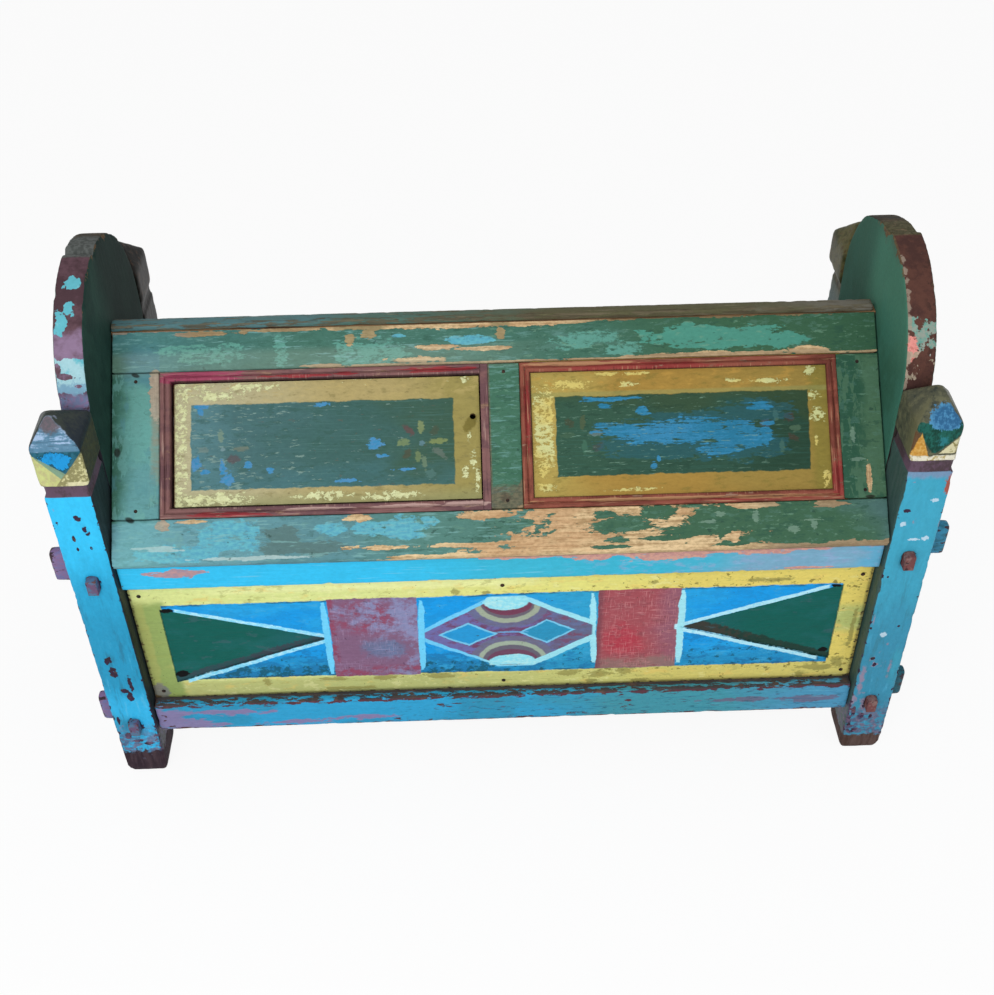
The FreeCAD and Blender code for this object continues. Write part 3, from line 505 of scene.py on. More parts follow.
    def patches(self, ragged, *ovals, soft=0.08):
        """Ragged patches: ovals whose border is broken up by a noise field."""
        return (self.spots(*ovals) + ragged).ramp(-soft, soft)

    def mix(self, first, second, share):
        """A colour between two, each given by its six digits or by another mix."""
        first, second = [linear(c) if isinstance(c, str) else c for c in (first, second)]
        made = self.node("ShaderNodeMix", {0: share, 6: first, 7: second}, data_type="RGBA")
        return made.outputs[2]

    def over(self, ground, *layers):
        """A ground with colours laid over it one after the other, each with its share."""
        for colour, share in layers:
            ground = self.mix(ground, colour, share)
        return ground

    def lay(self, colour, share):
        """Lay a colour over what is there, by a share of 0 to 1."""
        self.colour = self.mix(self.colour, colour, share)

    def shade(self, field, amount):
        """Darken and lighten what is there a little, by a noise field."""
        inputs = {"Color": self.colour, "Value": self.math("MULTIPLY_ADD", field, amount, 1.0)}
        self.colour = self.node("ShaderNodeHueSaturation", inputs).outputs[0]

    def wood(self, grain, seed, dark, light):
        """Bare wood with its grain along x, y or z of the place; returns the grain."""
        long = {"x": (140, 5, 5), "y": (5, 140, 5), "z": (5, 5, 140)}[grain]
        fine = {"x": (50, 1.6, 1.6), "y": (1.6, 50, 1.6), "z": (1.6, 1.6, 50)}[grain]
        lines = self.noise(long, seed, 3.0) + 0.5 * self.noise(fine, seed + 1, 2.0)
        self.colour = lines.blend(dark, light, -0.9, 1.0)
        return lines

    def finish(self, rough, height):
        """Roughness and relief, the relief as a height in millimetres."""
        relief = self.node("ShaderNodeBump", {"Height": height, "Distance": MM, "Strength": 1.0})
        self.links.new(self.colour, self.shader.inputs["Base Color"])
        self.links.new(rough.socket, self.shader.inputs["Roughness"])
        self.links.new(relief.outputs[0], self.shader.inputs["Normal"])
        self.shader.inputs["IOR"].default_value = PAINT_IOR
        return self.material


def streaked(paint, seed, across=46, along=15):
    """Ragged noise for patches that lie along the boards."""
    return (0.42 * paint.noise((across, along, along), seed, 2.0)
            + 0.34 * paint.noise((across / 3, along / 2.6, along / 2.6), seed + 1, 3.0))


# Spots of paint on a flat-drawn surface, in millimetres: across, up, half width, half height
# and, where one is turned, degrees. Each list is used by the surface that names it.
LEFT_VEIL = (
    (-235, 338, 26, 26), (-185, 340, 38, 22), (-350, 348, 13, 26), (-465, 338, 50, 9), (-430, 355, 24, 6),
    (150, 352, 52, 14), (210, 334, 34, 10), (-500, 350, 60, 8))
RIGHT_VEIL = (
    (330, 354, 84, 17), (410, 348, 74, 18), (470, 342, 34, 16), (360, 336, 60, 6))
BRIGHT_STROKES = (
    (-40, 356, 36, 8), (-430, 46, 56, 24), (-272, 53, 24, 13), (-212, 53, 28, 12), (-160, 47, 32, 20),
    (-115, 62, 12, 7), (-520, 20, 66, 14), (-160, 366, 12, 3))
GREEN_ISLANDS = (
    (195, 44, 60, 17), (252, 64, 30, 14), (300, 32, 50, 10), (165, 62, 22, 8), (185, 22, 24, 7),
    (345, 45, 55, 20), (260, 22, 40, 5), (175, 10, 40, 4))
PALE_SPOTS = (
    (335, 46, 12, 3), (352, 58, 8, 4), (410, 52, 5, 10), (470, 29, 9, 5), (504, 36, 5, 7), (500, 44, 14, 1.5),
    (580, 141, 10, 3), (575, 180, 4, 12))
NAIL_STAINS = (
    (8, 94, 10, 9), (597, 79, 9, 3), (-595, 76, 9, 5, -25), (-586, 312, 8, 4, -20), (-615, 186, 6, 9))
BARE_WOOD = (
    (205, 32, 165, 56), (165, 12, 205, 20), (75, 18, 80, 15), (-25, 67, 50, 7), (-232, 68, 30, 6),
    (-543, 66, 12, 9), (-500, 70, 26, 3), (-100, 345, 42, 5), (-25, 341, 56, 3.4), (-207, 372, 12, 12),
    (-238, 360, 10, 10), (8, 366, 9, 11), (298, 60, 30, 16), (372, 22, 14, 13), (398, 71, 44, 6),
    (528, 69, 32, 6), (150, 63, 125, 15), (360, 320, 130, 5), (505, 324, 40, 7), (-555, 280, 9, 40),
    (597, 104, 4.5, 27), (-190, 20, 60, 4), (-60, 20, 66, 4), (-140, 4, 36, 3), (-280, 320, 30, 3),
    (-130, 325, 46, 5), (105, 70, 60, 9), (-470, 378, 60, 4), (-340, 381, 60, 3))
DOOR_BLUE_CHIPS = (
    (-482, 258, 12, 4), (-484, 250, 5, 6), (-289, 255, 12, 4), (-200, 188, 11, 8), (-190, 170, 8, 2.6),
    (-491, 165, 7, 10), (-405, 163, 5, 7), (-370, 153, 5.5, 4.5), (-438, 138, 10, 11), (-447, 158, 5, 13),
    (-245, 131, 18, 3.4), (-150, 147, 15, 3), (-475, 150, 8, 4))
DOOR_PALE_CHIPS = (
    (-462, 106, 58, 12), (-280, 107, 42, 7), (-180, 105, 44, 7), (-455, 275, 38, 8), (-400, 288, 40, 6),
    (-52, 292, 8, 6), (-43, 160, 5, 14), (-55, 140, 6, 8), (-48, 198, 4, 7), (-36, 125, 5, 16))
FIXED_BLUE_STROKES = (
    (180, 253, 44, 4), (173, 242, 12, 4), (236, 232, 11, 8), (172, 208, 20, 5), (205, 200, 38, 12),
    (260, 194, 58, 18), (320, 198, 54, 20), (375, 185, 42, 16), (360, 165, 32, 12), (410, 178, 24, 12),
    (392, 200, 28, 10), (424, 234, 24, 7), (436, 184, 10, 14), (440, 205, 14, 4), (250, 140, 5, 6),
    (258, 150, 3, 6))
FIXED_BLUE_VEIL = (
    (300, 165, 120, 16), (230, 175, 70, 16), (400, 170, 60, 26), (330, 215, 110, 12), (420, 225, 60, 20))
FIXED_PALE_CHIPS = (
    (120, 278, 32, 8), (180, 293, 24, 3), (230, 293, 28, 3), (212, 276, 14, 5), (385, 277, 14, 4),
    (442, 275, 28, 4), (512, 290, 10, 9), (520, 216, 14, 10), (515, 250, 10, 8), (516, 172, 3, 11),
    (70, 140, 9, 15), (75, 108, 20, 7), (220, 103, 40, 3), (530, 112, 7, 16))
BORDER_STAINS = (
    (-112, 210, 34, 7), (-205, 207, 24, 7), (-300, 209, 20, 5), (-420, 206, 6, 10), (165, 200, 20, 10),
    (212, 206, 18, 12), (115, 207, 22, 8), (255, 425, 10, 6), (-80, 420, 7, 6), (595, 214, 12, 14),
    (160, 182, 12, 6), (245, 180, 20, 4), (-280, 182, 50, 4), (610, 300, 4, 40), (560, 200, 30, 6),
    (-30, 414, 8, 4), (530, 180, 10, 6), (450, 424, 30, 5))
WHITE_SPOTS = (
    (681, 622, 7, 5), (682, 540, 6, 6), (655, 313, 6, 8), (640, 572, 6, 6), (664, 538, 10, 3))
RIGHT_POST_MAUVE = (
    (636, 200, 14, 120), (666, 290, 12, 18), (640, 660, 16, 10), (652, 130, 26, 50), (680, 230, 10, 60),
    (632, 350, 8, 70))
LOWER_RAIL_STAINS = (
    (-606, 140, 40, 30), (-560, 116, 50, 10), (-480, 150, 60, 8), (-380, 118, 60, 6), (-250, 125, 50, 6),
    (420, 140, 60, 6), (556, 138, 44, 10))
LOWER_RAIL_MARKS = (
    (-100, 150, 32, 12), (-190, 116, 26, 7), (20, 112, 40, 8), (220, 142, 20, 14), (215, 128, 16, 12),
    (-330, 140, 14, 5), (130, 116, 34, 6), (-595, 112, 36, 8), (-612, 140, 8, 14))
LEFT_POST_CHIPS = (
    (-658, 637, 8, 9), (-649, 611, 7, 13), (-691, 628, 3, 6), (-672, 594, 3, 8), (-649, 573, 3, 5),
    (-671, 572, 2.5, 6), (-676, 310, 9, 14), (-672, 279, 10, 18), (-664, 230, 9, 8), (-656, 214, 8, 13),
    (-650, 250, 5, 26), (-680, 108, 9, 12), (-664, 93, 12, 6), (-648, 85, 14, 5), (-690, 150, 4, 12))
RIGHT_POST_CHIPS = (
    (641, 600, 8, 5), (647, 253, 5, 5), (652, 238, 5, 7), (636, 110, 6, 16), (651, 96, 8, 12),
    (669, 92, 4, 12), (677, 334, 3, 3), (632, 80, 6, 26), (640, 60, 14, 14), (630, 330, 3, 5),
    (637, 454, 2, 3))
# Flower petals on the two slope panels: spots with their turn and colour
DOOR_PETALS = (
    (-126, 214, 6.5, 11.5, 0, "7E8C5F"), (-153, 190, 12.5, 6.5, 0, "73855B"),
    (-98, 190, 16, 5.6, 0, "7F8C57"), (-131, 168, 5.2, 11.5, 0, "6D7F57"), (-122, 156, 4.6, 13, 8, "687E66"),
    (-145, 210, 12, 6, -45, "5D4343"), (-97, 172, 15, 6.5, -38, "5D6B62"), (-149, 171, 11, 6, 42, "494939"),
    (-104, 208, 11, 6, 45, "434E3E"), (-112, 137, 9, 7, 0, "4C6F6A"), (-124, 188, 5, 4.4, 0, "5D7F8A"),
    (-449, 210, 5.4, 12.5, 4, "738A78"), (-419, 187, 15, 4.4, 0, "6A7466"), (-430, 171, 12, 8, 0, "574C50"),
    (-447, 163, 5, 12, 8, "6B8A8C"), (-476, 186, 12, 5, 0, "687E7A"), (-446, 187, 4.4, 4, 0, "738E92"))
FIXED_PETALS = (
    (137, 216, 5, 14, 0, "4E593E"), (112, 194, 14, 5, 0, "405C47"), (160, 196, 13, 5.5, 0, "667A7E"),
    (138, 174, 5, 12, 0, "406A57"), (160, 174, 11, 7, 30, "434747"), (116, 214, 9, 7, -35, "404331"),
    (452, 217, 5, 13, 6, "4E7162"), (483, 196, 11, 6, 0, "4E6A54"), (460, 167, 5, 11, 0, "577450"),
    (474, 214, 9, 9, 40, "453733"), (480, 180, 10, 6, -30, "45382F"), (436, 205, 10, 8, 0, "435464"))
# Places on the flat-drawn slope, in millimetres: the middle of its panels and of the mullion
PANELS_V, MULLION_U = 196.0, 11.0


def flowered(p, field, petals, share, fine):
    """A painted field with petals laid over it."""
    for *oval, colour in petals:
        field = p.mix(field, colour, share * (p.oval(*oval) + 0.5 * fine).ramp(-0.04, 0.3))
    return field


def slope_frame_paint(name, grain):
    """Teal to green coats on the slope's rails and stiles, worn through to light wood."""
    p = Paint(name, "slope")
    u, v = p.across, p.up
    lines = p.wood(grain, 11, "7E6045", "BFA481")
    soft = p.noise((120, 60, 60), 21, 3.0)
    fine = p.noise((9, 5, 5), 22, 4.0, 0.65)
    rag = streaked(p, 23) + 0.16 * fine
    wander = u.moved(soft, 60)
    mottle = p.noise((30, 12, 12), 24, 5.0, 0.68)

    # Coats: the top rail, then the bottom rail, the two stiles and the mullion
    coat = p.over(wander.blend("437374", "426D60", -620, -300), ("385D45", wander.ramp(-60, 420)))
    low = p.over(
        wander.blend("62949E", "56838A", -470, -330),
        ("507C74", wander.ramp(-300, -120)),
        ("3C6049", wander.ramp(-120, 260)),
        ("4E716D", wander.ramp(540, 630)))
    coat = p.mix(low, coat, v.ramp(74, 76))
    drift = v.moved(soft, 30)
    stile = p.over(drift.blend("548387", "5D938A", 120, 200), ("43717F", drift.ramp(285, 330)))
    # Painted shade of the end board: the left stile darkens towards its outer edge.
    stile = p.mix("35604B", stile, u.moved(soft, 16).ramp(-616, -592))
    coat = p.mix(stile, coat, u.ramp(-548, -546) | v.ramp(332, 372) | v.ramp(74, 68))
    on_mullion = abs(u - MULLION_U).ramp(27, 25) & abs(v - PANELS_V).ramp(121, 119)
    coat = p.mix(coat, p.mix("3F6A56", "39644E", soft), on_mullion)
    on_right = u.ramp(554, 556) & abs(v - 194.0).ramp(119, 117)
    right = u.moved(soft, 16).blend("2E5643", "4B6E54", 578, 606)
    coat = p.over(
        coat,
        (right, on_right),
        ("2A4D40", 0.55 * (mottle.ramp(0.15, 0.5) & u.ramp(-380, 0, 0.5, 1.0))),
        ("71A097", 0.34 * (mottle.ramp(-0.2, -0.6) & u.ramp(300, -300, 0.45, 1.0))))

    # Patches of brighter paint, broken up by the brush
    comb = p.noise((16, 3.6, 3.6), 35, 4.0, 0.66)
    broken = (mottle + 0.7 * fine).ramp(-0.55, 0.1)
    veil = p.patches(rag, *LEFT_VEIL)
    coat = p.mix(coat, "5D978A", 0.85 * (veil & broken & comb.ramp(0.6, 0.3)))
    veil = p.patches(rag, *RIGHT_VEIL)
    coat = p.mix(coat, "4A8C7C", 0.95 * (veil & (mottle + 0.5 * fine).ramp(-0.85, -0.4)))
    bright = p.patches(rag, *BRIGHT_STROKES)
    bright = bright & ~(u.ramp(-389, -386) & u.ramp(-306, -320))
    coat = p.over(
        coat,
        (fine.blend("549EB6", "60ABB6", -0.5, 0.6), 0.95 * (bright & (mottle + 0.6 * fine).ramp(-0.8, -0.2))),
        ("526A66", 0.7 * p.patches(rag, (-350, 34, 34, 24), (-300, 22, 40, 14))))
    streaks = p.noise((40, 4.5, 4.5), 31, 4.0, 0.66)
    on_stile = u.ramp(-545, -549) & abs(v - PANELS_V).ramp(121, 119) | on_right
    light = streaks.ramp(0.28, 0.55) & ~on_stile
    coat = p.over(
        coat,
        ("7CACAB", 0.5 * (light & u.ramp(250, -120, 0.0, 1.0))),
        ("A4BCBB", 0.8 * p.patches(rag, (-390, 9, 90, 3.5), (-560, 30, 40, 3), (-545, 26, 30, 2.5))),
        ("6E967F", 0.45 * (p.noise((20, 6, 6), 32, 5.0, 0.68).ramp(0.35, 0.6) & u.ramp(-200, 100))))
    tall = p.noise((22, 70, 70), 33, 5.0, 0.66)
    coat = p.over(
        coat,
        (u.blend("5E9088", "4C7058", -10, 10), 0.8 * (tall.ramp(0.1, 0.25) & on_stile)),
        (u.blend("487880", "2C5442", -10, 10), 0.6 * (tall.ramp(-0.3, -0.5) & on_stile)),
        ("244038", 0.6 * p.noise((16, 12, 12), 34, 4.0).ramp(0.62, 0.85)),
        ("86A392", 0.45 * p.patches(0.8 * fine, *PALE_SPOTS, soft=0.15)))

    # Where the paint is gone
    top_edge = v.ramp(366, 388, -1.3, 0.7) + abs(u + 70.0).ramp(130, 290, 0.45, -0.5)
    low_edge = v.ramp(14, 0, -1.0, 0.55) + u.ramp(-260, 0, -1.0, 0.3)
    by_mould = abs(v - 318.0).ramp(4, 1.5, -1.0, 0.25) + u.ramp(-350, -180, -0.8, 0.0)
    bare = p.spots(*BARE_WOOD)
    bare = bare | top_edge | low_edge | by_mould
    island = p.spots(*GREEN_ISLANDS)
    bare = bare - p.math("MAXIMUM", island + 0.5 * comb + 0.1, 0.0) * 2.6
    bare = bare + 0.26 * p.edge
    gone = (bare + rag + 0.14 * comb).ramp(0.0, 0.12)
    top_side = p.z.ramp(-17, -15)
    gone = gone | ~top_side
    by_stile = (abs(u.moved(rag, 5) + 553.0).ramp(12, 3) & v.ramp(318, 312)
                & v.moved(mottle, 60).ramp(110, 230))
    coat = p.mix(coat, "90785E", 0.75 * by_stile)
    tan = p.over(
        (lines + 0.7 * fine + 0.3 * mottle).blend("A0845E", "D6BC92", -0.9, 0.8),
        ("B68C66", 0.5 * (soft + 0.4 * mottle).ramp(-0.1, 0.6)),
        ("64593E", 0.85 * (u.ramp(60, 240) & v.ramp(340, 366))),
        ("8A7E5C", 0.8 * ((abs(u + 222.0).ramp(50, 34) | abs(u - 8.0).ramp(20, 12)) & v.ramp(350, 356))),
        ("817154", 0.75 * (u.ramp(-240, -330) & v.ramp(340, 366))),
        ("99877C", 0.7 * u.ramp(-480, -540)),
        ("927F66", 0.6 * abs(v - 318.0).ramp(8, 5)),
        ("7F6F59", 0.8 * (u.ramp(380, 460) & v.ramp(100, 60))))
    p.colour = p.mix(coat, tan, gone)
    # Painted sheen: a paler haze over the left part of the frame.
    haze = (u.moved(mottle, 20).ramp(-500, -585) & v.ramp(290, 200, 0.3, 1.0)
            & u.moved(soft, 12).ramp(-620, -604, 0.3, 1.0))
    p.lay("7BC4C3", 0.26 * haze)
    p.lay("AABCAC", 0.16 * (abs(v - 330.0).ramp(26, 10) & u.ramp(120, -80)))
    p.lay("644A33", 0.9 * ~top_side)
    p.lay("1F1B16", 0.85 * p.spots(*NAIL_STAINS).ramp(-0.1, 0.4))
    mullion_low = (on_mullion & (v.moved(rag, 24).ramp(118, 102) | u.ramp(-11, -14)
                                 | (u.moved(rag, 8) + v.ramp(150, 100, -20.0, 12.0)).ramp(32, 36)))
    p.lay(fine.blend("565042", "6F6450", -0.5, 0.5), 0.8 * mullion_low)
    p.lay("262119", 0.5 * (abs(v - 76.0).ramp(1.6, 0.6) | abs(v - 315.5).ramp(1.6, 0.6)))
    p.shade(fine, 0.1)
    p.shade(mottle, 0.07)
    height = 0.45 * ~gone + 0.12 * fine + 0.12 * (gone & lines.ramp(-1, 1)) + 0.1 * mottle + 0.08 * light
    return p.finish(gone.ramp(0, 1, 0.5, 0.78), height)


def border_and_field(p, field, seed):
    """The share of a hand-brushed rectangular field, on a plan that is a little shaken."""
    p.plan = p.shaken(38, 1.6, seed)
    return (p.box(*field) + 1.1 * p.noise(9, seed + 1, 3.0)).ramp(-1.2, 1.2)


def door_paint():
    """The door: a yellow border round a blue-green field with flowers, chips and pale flakes."""
    p = Paint("door_panel_paint", "slope")
    u, v = p.across, p.up
    p.wood("x", 41, "655238", "A0875F")
    wood = p.colour
    soft = p.noise((110, 50, 50), 42, 3.0)
    fine = p.noise((8, 4.5, 4.5), 43, 4.0, 0.65)
    mottle = p.noise((26, 12, 12), 51, 5.0, 0.68)
    rag = streaked(p, 44, 26, 12) + 0.2 * fine
    share = border_and_field(p, (-498, -72.5, 121, 261), 45)
    border = p.over(
        u.blend("B0AA88", "A89866", -480, -240),
        ("92874E", u.moved(soft, 50).ramp(-190, -60)),
        ("8C8E62", 0.7 * v.ramp(125, 95)),
        ("AF9D66", 0.5 * (mottle.ramp(0.1, 0.5) & v.ramp(260, 275))),
        ("7E7649", 0.5 * mottle.ramp(-0.25, -0.6)))
    pale = (u.ramp(-496, -506, -1.05, 0.16)
            | u.ramp(-300, -500, -0.95, -0.2) + abs(v - 292.0).ramp(4, 9, 0.25, -0.3)
            | v.ramp(292, 298, -1.0, -0.05) + u.ramp(-160, -30, 0.0, -0.4)
            | p.spots(*DOOR_PALE_CHIPS))
    flake = p.noise((8, 6, 6), 47, 5.0, 0.7)
    pale_share = ((pale & 0.4) + 1.1 * flake + 0.3 * mottle).ramp(0.1, 0.28)
    border = p.over(
        border,
        (fine.blend("CCCF9C", "D2D8A8", -0.3, 0.5), 0.93 * (pale_share & v.ramp(88, 92))),
        ("645B3A", 0.45 * p.noise((12, 6, 6), 52, 4.0).ramp(0.6, 0.8)))
    p.colour = border
    field = p.over(
        u.moved(soft, 40).blend("527A80", "44686A", -490, -400),
        ("3A5E5A", u.moved(soft, 60).ramp(-400, -250)),
        ("385647", u.moved(soft, 70).ramp(-230, -90)),
        ("437178", 0.4 * v.moved(soft, 30).ramp(165, 128)),
        ("2F5047", 0.5 * mottle.ramp(0.1, 0.5)))
    streak = p.noise((90, 2.6, 2.6), 48, 3.0).ramp(0.1, 0.9)
    field = p.mix(field, "527C78", 0.35 * streak)
    marks = p.noise((18, 4.4, 4.4), 49, 5.0, 0.66)
    thin = (marks + u.ramp(-180, -420, -0.22, 0.04) + abs(v - 190.0).ramp(60, 30, 0.06, 0.0)).ramp(0.39, 0.54)
    field = p.over(
        field,
        ("829D95", 0.62 * thin),
        ("605449", 0.5 * p.noise((20, 6, 6), 53, 4.0, 0.62).ramp(0.62, 0.78)))
    field = flowered(p, field, DOOR_PETALS, 0.75, fine)
    chips = p.patches(1.25 * rag + 0.5 * p.noise((10, 3.4, 3.4), 54, 4.0, 0.66), *DOOR_BLUE_CHIPS, soft=0.06)
    field = p.mix(field, fine.blend("3585B1", "4D83AD", -0.5, 0.5), chips)
    p.lay(field, share)
    p.lay("6A602A", 0.8 * (p.oval(-46, 219, 9, 17, -32) + 0.3 * fine).ramp(-0.1, 0.25))
    gone = (0.8 * p.edge + 0.5 * p.noise(14, 50, 3.0)).ramp(1.0, 1.15) | ~p.z.ramp(-8.5, -7.5)
    p.lay(wood, gone)
    # Painted shadow in the gap along the panel's lower and left edges.
    p.lay("2E2220", 0.8 * (v.ramp(95.6, 94.6) | u.ramp(-525.8, -526.8)))
    p.shade(fine, 0.1)
    p.shade(mottle, 0.07)
    height = 0.3 * share + 0.28 * pale_share + 0.12 * fine + 0.08 * streak + 0.14 * thin + 0.1 * mottle
    return p.finish(share.ramp(0, 1, 0.62, 0.5), height)


def fixed_paint():
    """The fixed panel: an ochre border round a dark green field brushed with blue."""
    p = Paint("fixed_panel_paint", "slope")
    u, v = p.across, p.up
    p.wood("x", 61, "655238", "A0875F")
    wood = p.colour
    soft = p.noise((120, 46, 46), 62, 3.0)
    fine = p.noise((8, 4.5, 4.5), 63, 4.0, 0.65)
    mottle = p.noise((26, 10, 10), 71, 5.0, 0.68)
    rag = streaked(p, 64, 40, 10) + 0.2 * fine
    share = border_and_field(p, (93.5, 505.5, 126.5, 258), 65)
    border = p.over(
        u.moved(soft, 40).blend("A7934E", "9D7E3C", 90, 200),
        ("937C3E", u.moved(soft, 60).ramp(300, 460)),
        ("857838", u.ramp(500, 520)),
        ("AF8A42", 0.6 * (mottle.ramp(0.1, 0.5) & v.ramp(258, 270))),
        ("7E7135", 0.5 * mottle.ramp(-0.25, -0.6)),
        ("888E57", 0.5 * abs(v - 261.0).ramp(6, 2)))
    pale = (abs(u - 74.0).ramp(26, 10, -1.0, 0.4) & abs(v - 205.0).ramp(120, 30, -0.6, 0.4)
            | p.spots(*FIXED_PALE_CHIPS))
    flake = p.noise((9, 6, 6), 67, 5.0, 0.7)
    pale_share = ((pale & 0.45) + 1.1 * flake + 0.3 * mottle).ramp(0.12, 0.3)
    border = p.mix(border, soft.blend("CCBC6C", "C6CA90", -0.4, 0.5), 0.93 * pale_share)
    p.colour = border
    field = p.over(
        u.moved(soft, 70).blend("315242", "2C4C3E", 120, 330),
        ("264233", u.moved(soft, 70).ramp(380, 470)),
        ("394B2F", 0.5 * v.moved(soft, 30).ramp(225, 250)))
    streak = p.noise((110, 2.8, 2.8), 68, 4.0).ramp(0.0, 0.8)
    field = p.over(
        field,
        ("38665D", 0.5 * (streak & abs(v - 168.0).ramp(46, 16))),
        ("1C372C", 0.4 * mottle.ramp(0.15, 0.5)))
    field = flowered(p, field, FIXED_PETALS, 0.65, fine)
    comb = p.noise((46, 3.4, 3.4), 72, 4.0, 0.66)
    blue = p.patches(rag + 0.35 * comb, *FIXED_BLUE_STROKES, soft=0.06)
    blue = blue & (p.noise((70, 2.6, 2.6), 73, 4.0, 0.6) + 0.6 * fine).ramp(0.75, 0.4, 0.15, 1.0)
    field = p.mix(field, (fine + soft + comb).blend("267293", "357FA7", -0.8, 0.9), blue)
    veil = p.patches(rag, *FIXED_BLUE_VEIL)
    field = p.mix(field, "265B68", 0.5 * (veil & ~blue))
    thin = p.noise((24, 3.8, 3.8), 69, 5.0, 0.66).ramp(0.42, 0.57)
    field = p.mix(field, "719583", 0.58 * (thin & u.ramp(510, 400)))
    p.lay(field, share)
    gone = ~p.z.ramp(-8.5, -7.5)
    p.lay(wood, gone)
    # Painted shadow in the gap along the panel's lower and left edges.
    p.lay("2E2220", 0.8 * (v.ramp(94.6, 93.6) | u.ramp(55.6, 54.6)))
    p.shade(fine, 0.1)
    p.shade(mottle, 0.07)
    height = 0.3 * share + 0.28 * pale_share + 0.12 * fine + 0.1 * streak + 0.2 * blue + 0.1 * mottle
    return p.finish(share.ramp(0, 1, 0.6, 0.48), height)


def moulding_paint(name, seed, base, deep, highlight_and_pale_wood, door):
    """Red coats on the beaded strips, worn to wood in places, with pale streaks along the beads that are
    partly rubbed wood and partly painted highlight.
    """
    p = Paint(name, "slope")
    v = p.up
    p.wood("x", seed, "604335", "A2836F")
    wood = p.colour
    soft = p.noise((90, 40, 40), seed + 1, 3.0)
    fine = p.noise((7, 5, 5), seed + 2, 4.0, 0.65)
    upright = abs(v - PANELS_V).ramp(112, 104)
    lying = p.noise((60, 2.4, 60), seed + 4, 3.0)
    along = lying + upright * (p.noise((2.4, 60, 60), seed + 5, 3.0) - lying)
    p.colour = p.mix(base, deep, (soft + 0.4 * fine).ramp(-0.3, 0.4))
    rag = streaked(p, seed + 3, 60, 8)
    if door:
        p.lay("99425D", 0.9 * p.patches(rag, (-480, 307, 66, 9), (-530, 304, 24, 8), soft=0.1))
        p.lay("933137", 0.85 * p.patches(rag, (-320, 304, 60, 3), (-245, 305, 24, 3), (-440, 80, 70, 4),
                                         (-90, 308, 60, 4), soft=0.1))
        p.lay("B69992", 0.8 * p.patches(rag, (-60, 86, 36, 4), (-150, 86, 60, 3), (-300, 86, 60, 2),
                                        soft=0.1))
    else:
        p.lay("8E2F33", 0.6 * p.patches(rag, (546, 108, 9, 30), (230, 304, 130, 5), (420, 82, 120, 3),
                                        (47, 230, 4, 60), soft=0.1))
        p.lay("AF8762", 0.7 * p.patches(rag, (250, 86, 150, 2.6), (450, 84, 80, 3), (130, 311, 90, 3),
                                        soft=0.1))
    # Pale streaks along the beads: partly rubbed wood, partly painted highlight.
    p.lay(highlight_and_pale_wood, 0.5 * along.ramp(0.3, 0.75))
    gone = p.noise((34, 9, 9), seed + 6, 4.0, 0.62).ramp(0.55, 0.7)
    p.lay(wood, 0.8 * gone)
    p.lay("261816", 0.6 * along.ramp(-0.35, -0.8))
    # Painted shadow along the inner edge, in the gap beside the panel.
    inner = p.box(-529, -28, 92, 300) if door else p.box(53.0, 537.5, 93.5, 299)
    p.lay("2C1E20", 0.7 * inner.ramp(-0.8, 0.4))
    p.shade(fine, 0.1)
    return p.finish(fine.ramp(-1, 1, 0.5, 0.66), 0.15 * fine + 0.25 * ~gone + 0.2 * along)


# Side, tip, upper and lower corner, seed, then level, width and height of the dark corner holes, whose near
# black is painted shadow in the deep corners of the carving
TRIANGLES = (
    (-1, (-302, 314.5), (-577, 396), (-577, 213), 96, ((393, 12, 8), (232, 13, 8))),
    (1, (307, 316), (578, 408), (578, 222), 97, ((405, 10, 5), (243, 9, 6))))

# Middle and level, then width, height and colour of each ring from the outside in
RAINBOWS = (
    (9, 390, ((72, 62, "646A86"), (58, 49.5, "9CA892"), (47, 39, "605668"), (43, 31, "703850"))),
    (16, 238, ((76, 69, "686E84"), (62, 56, "9CAC98"), (53, 45, "5C5468"), (46, 34, "6A4058"))))


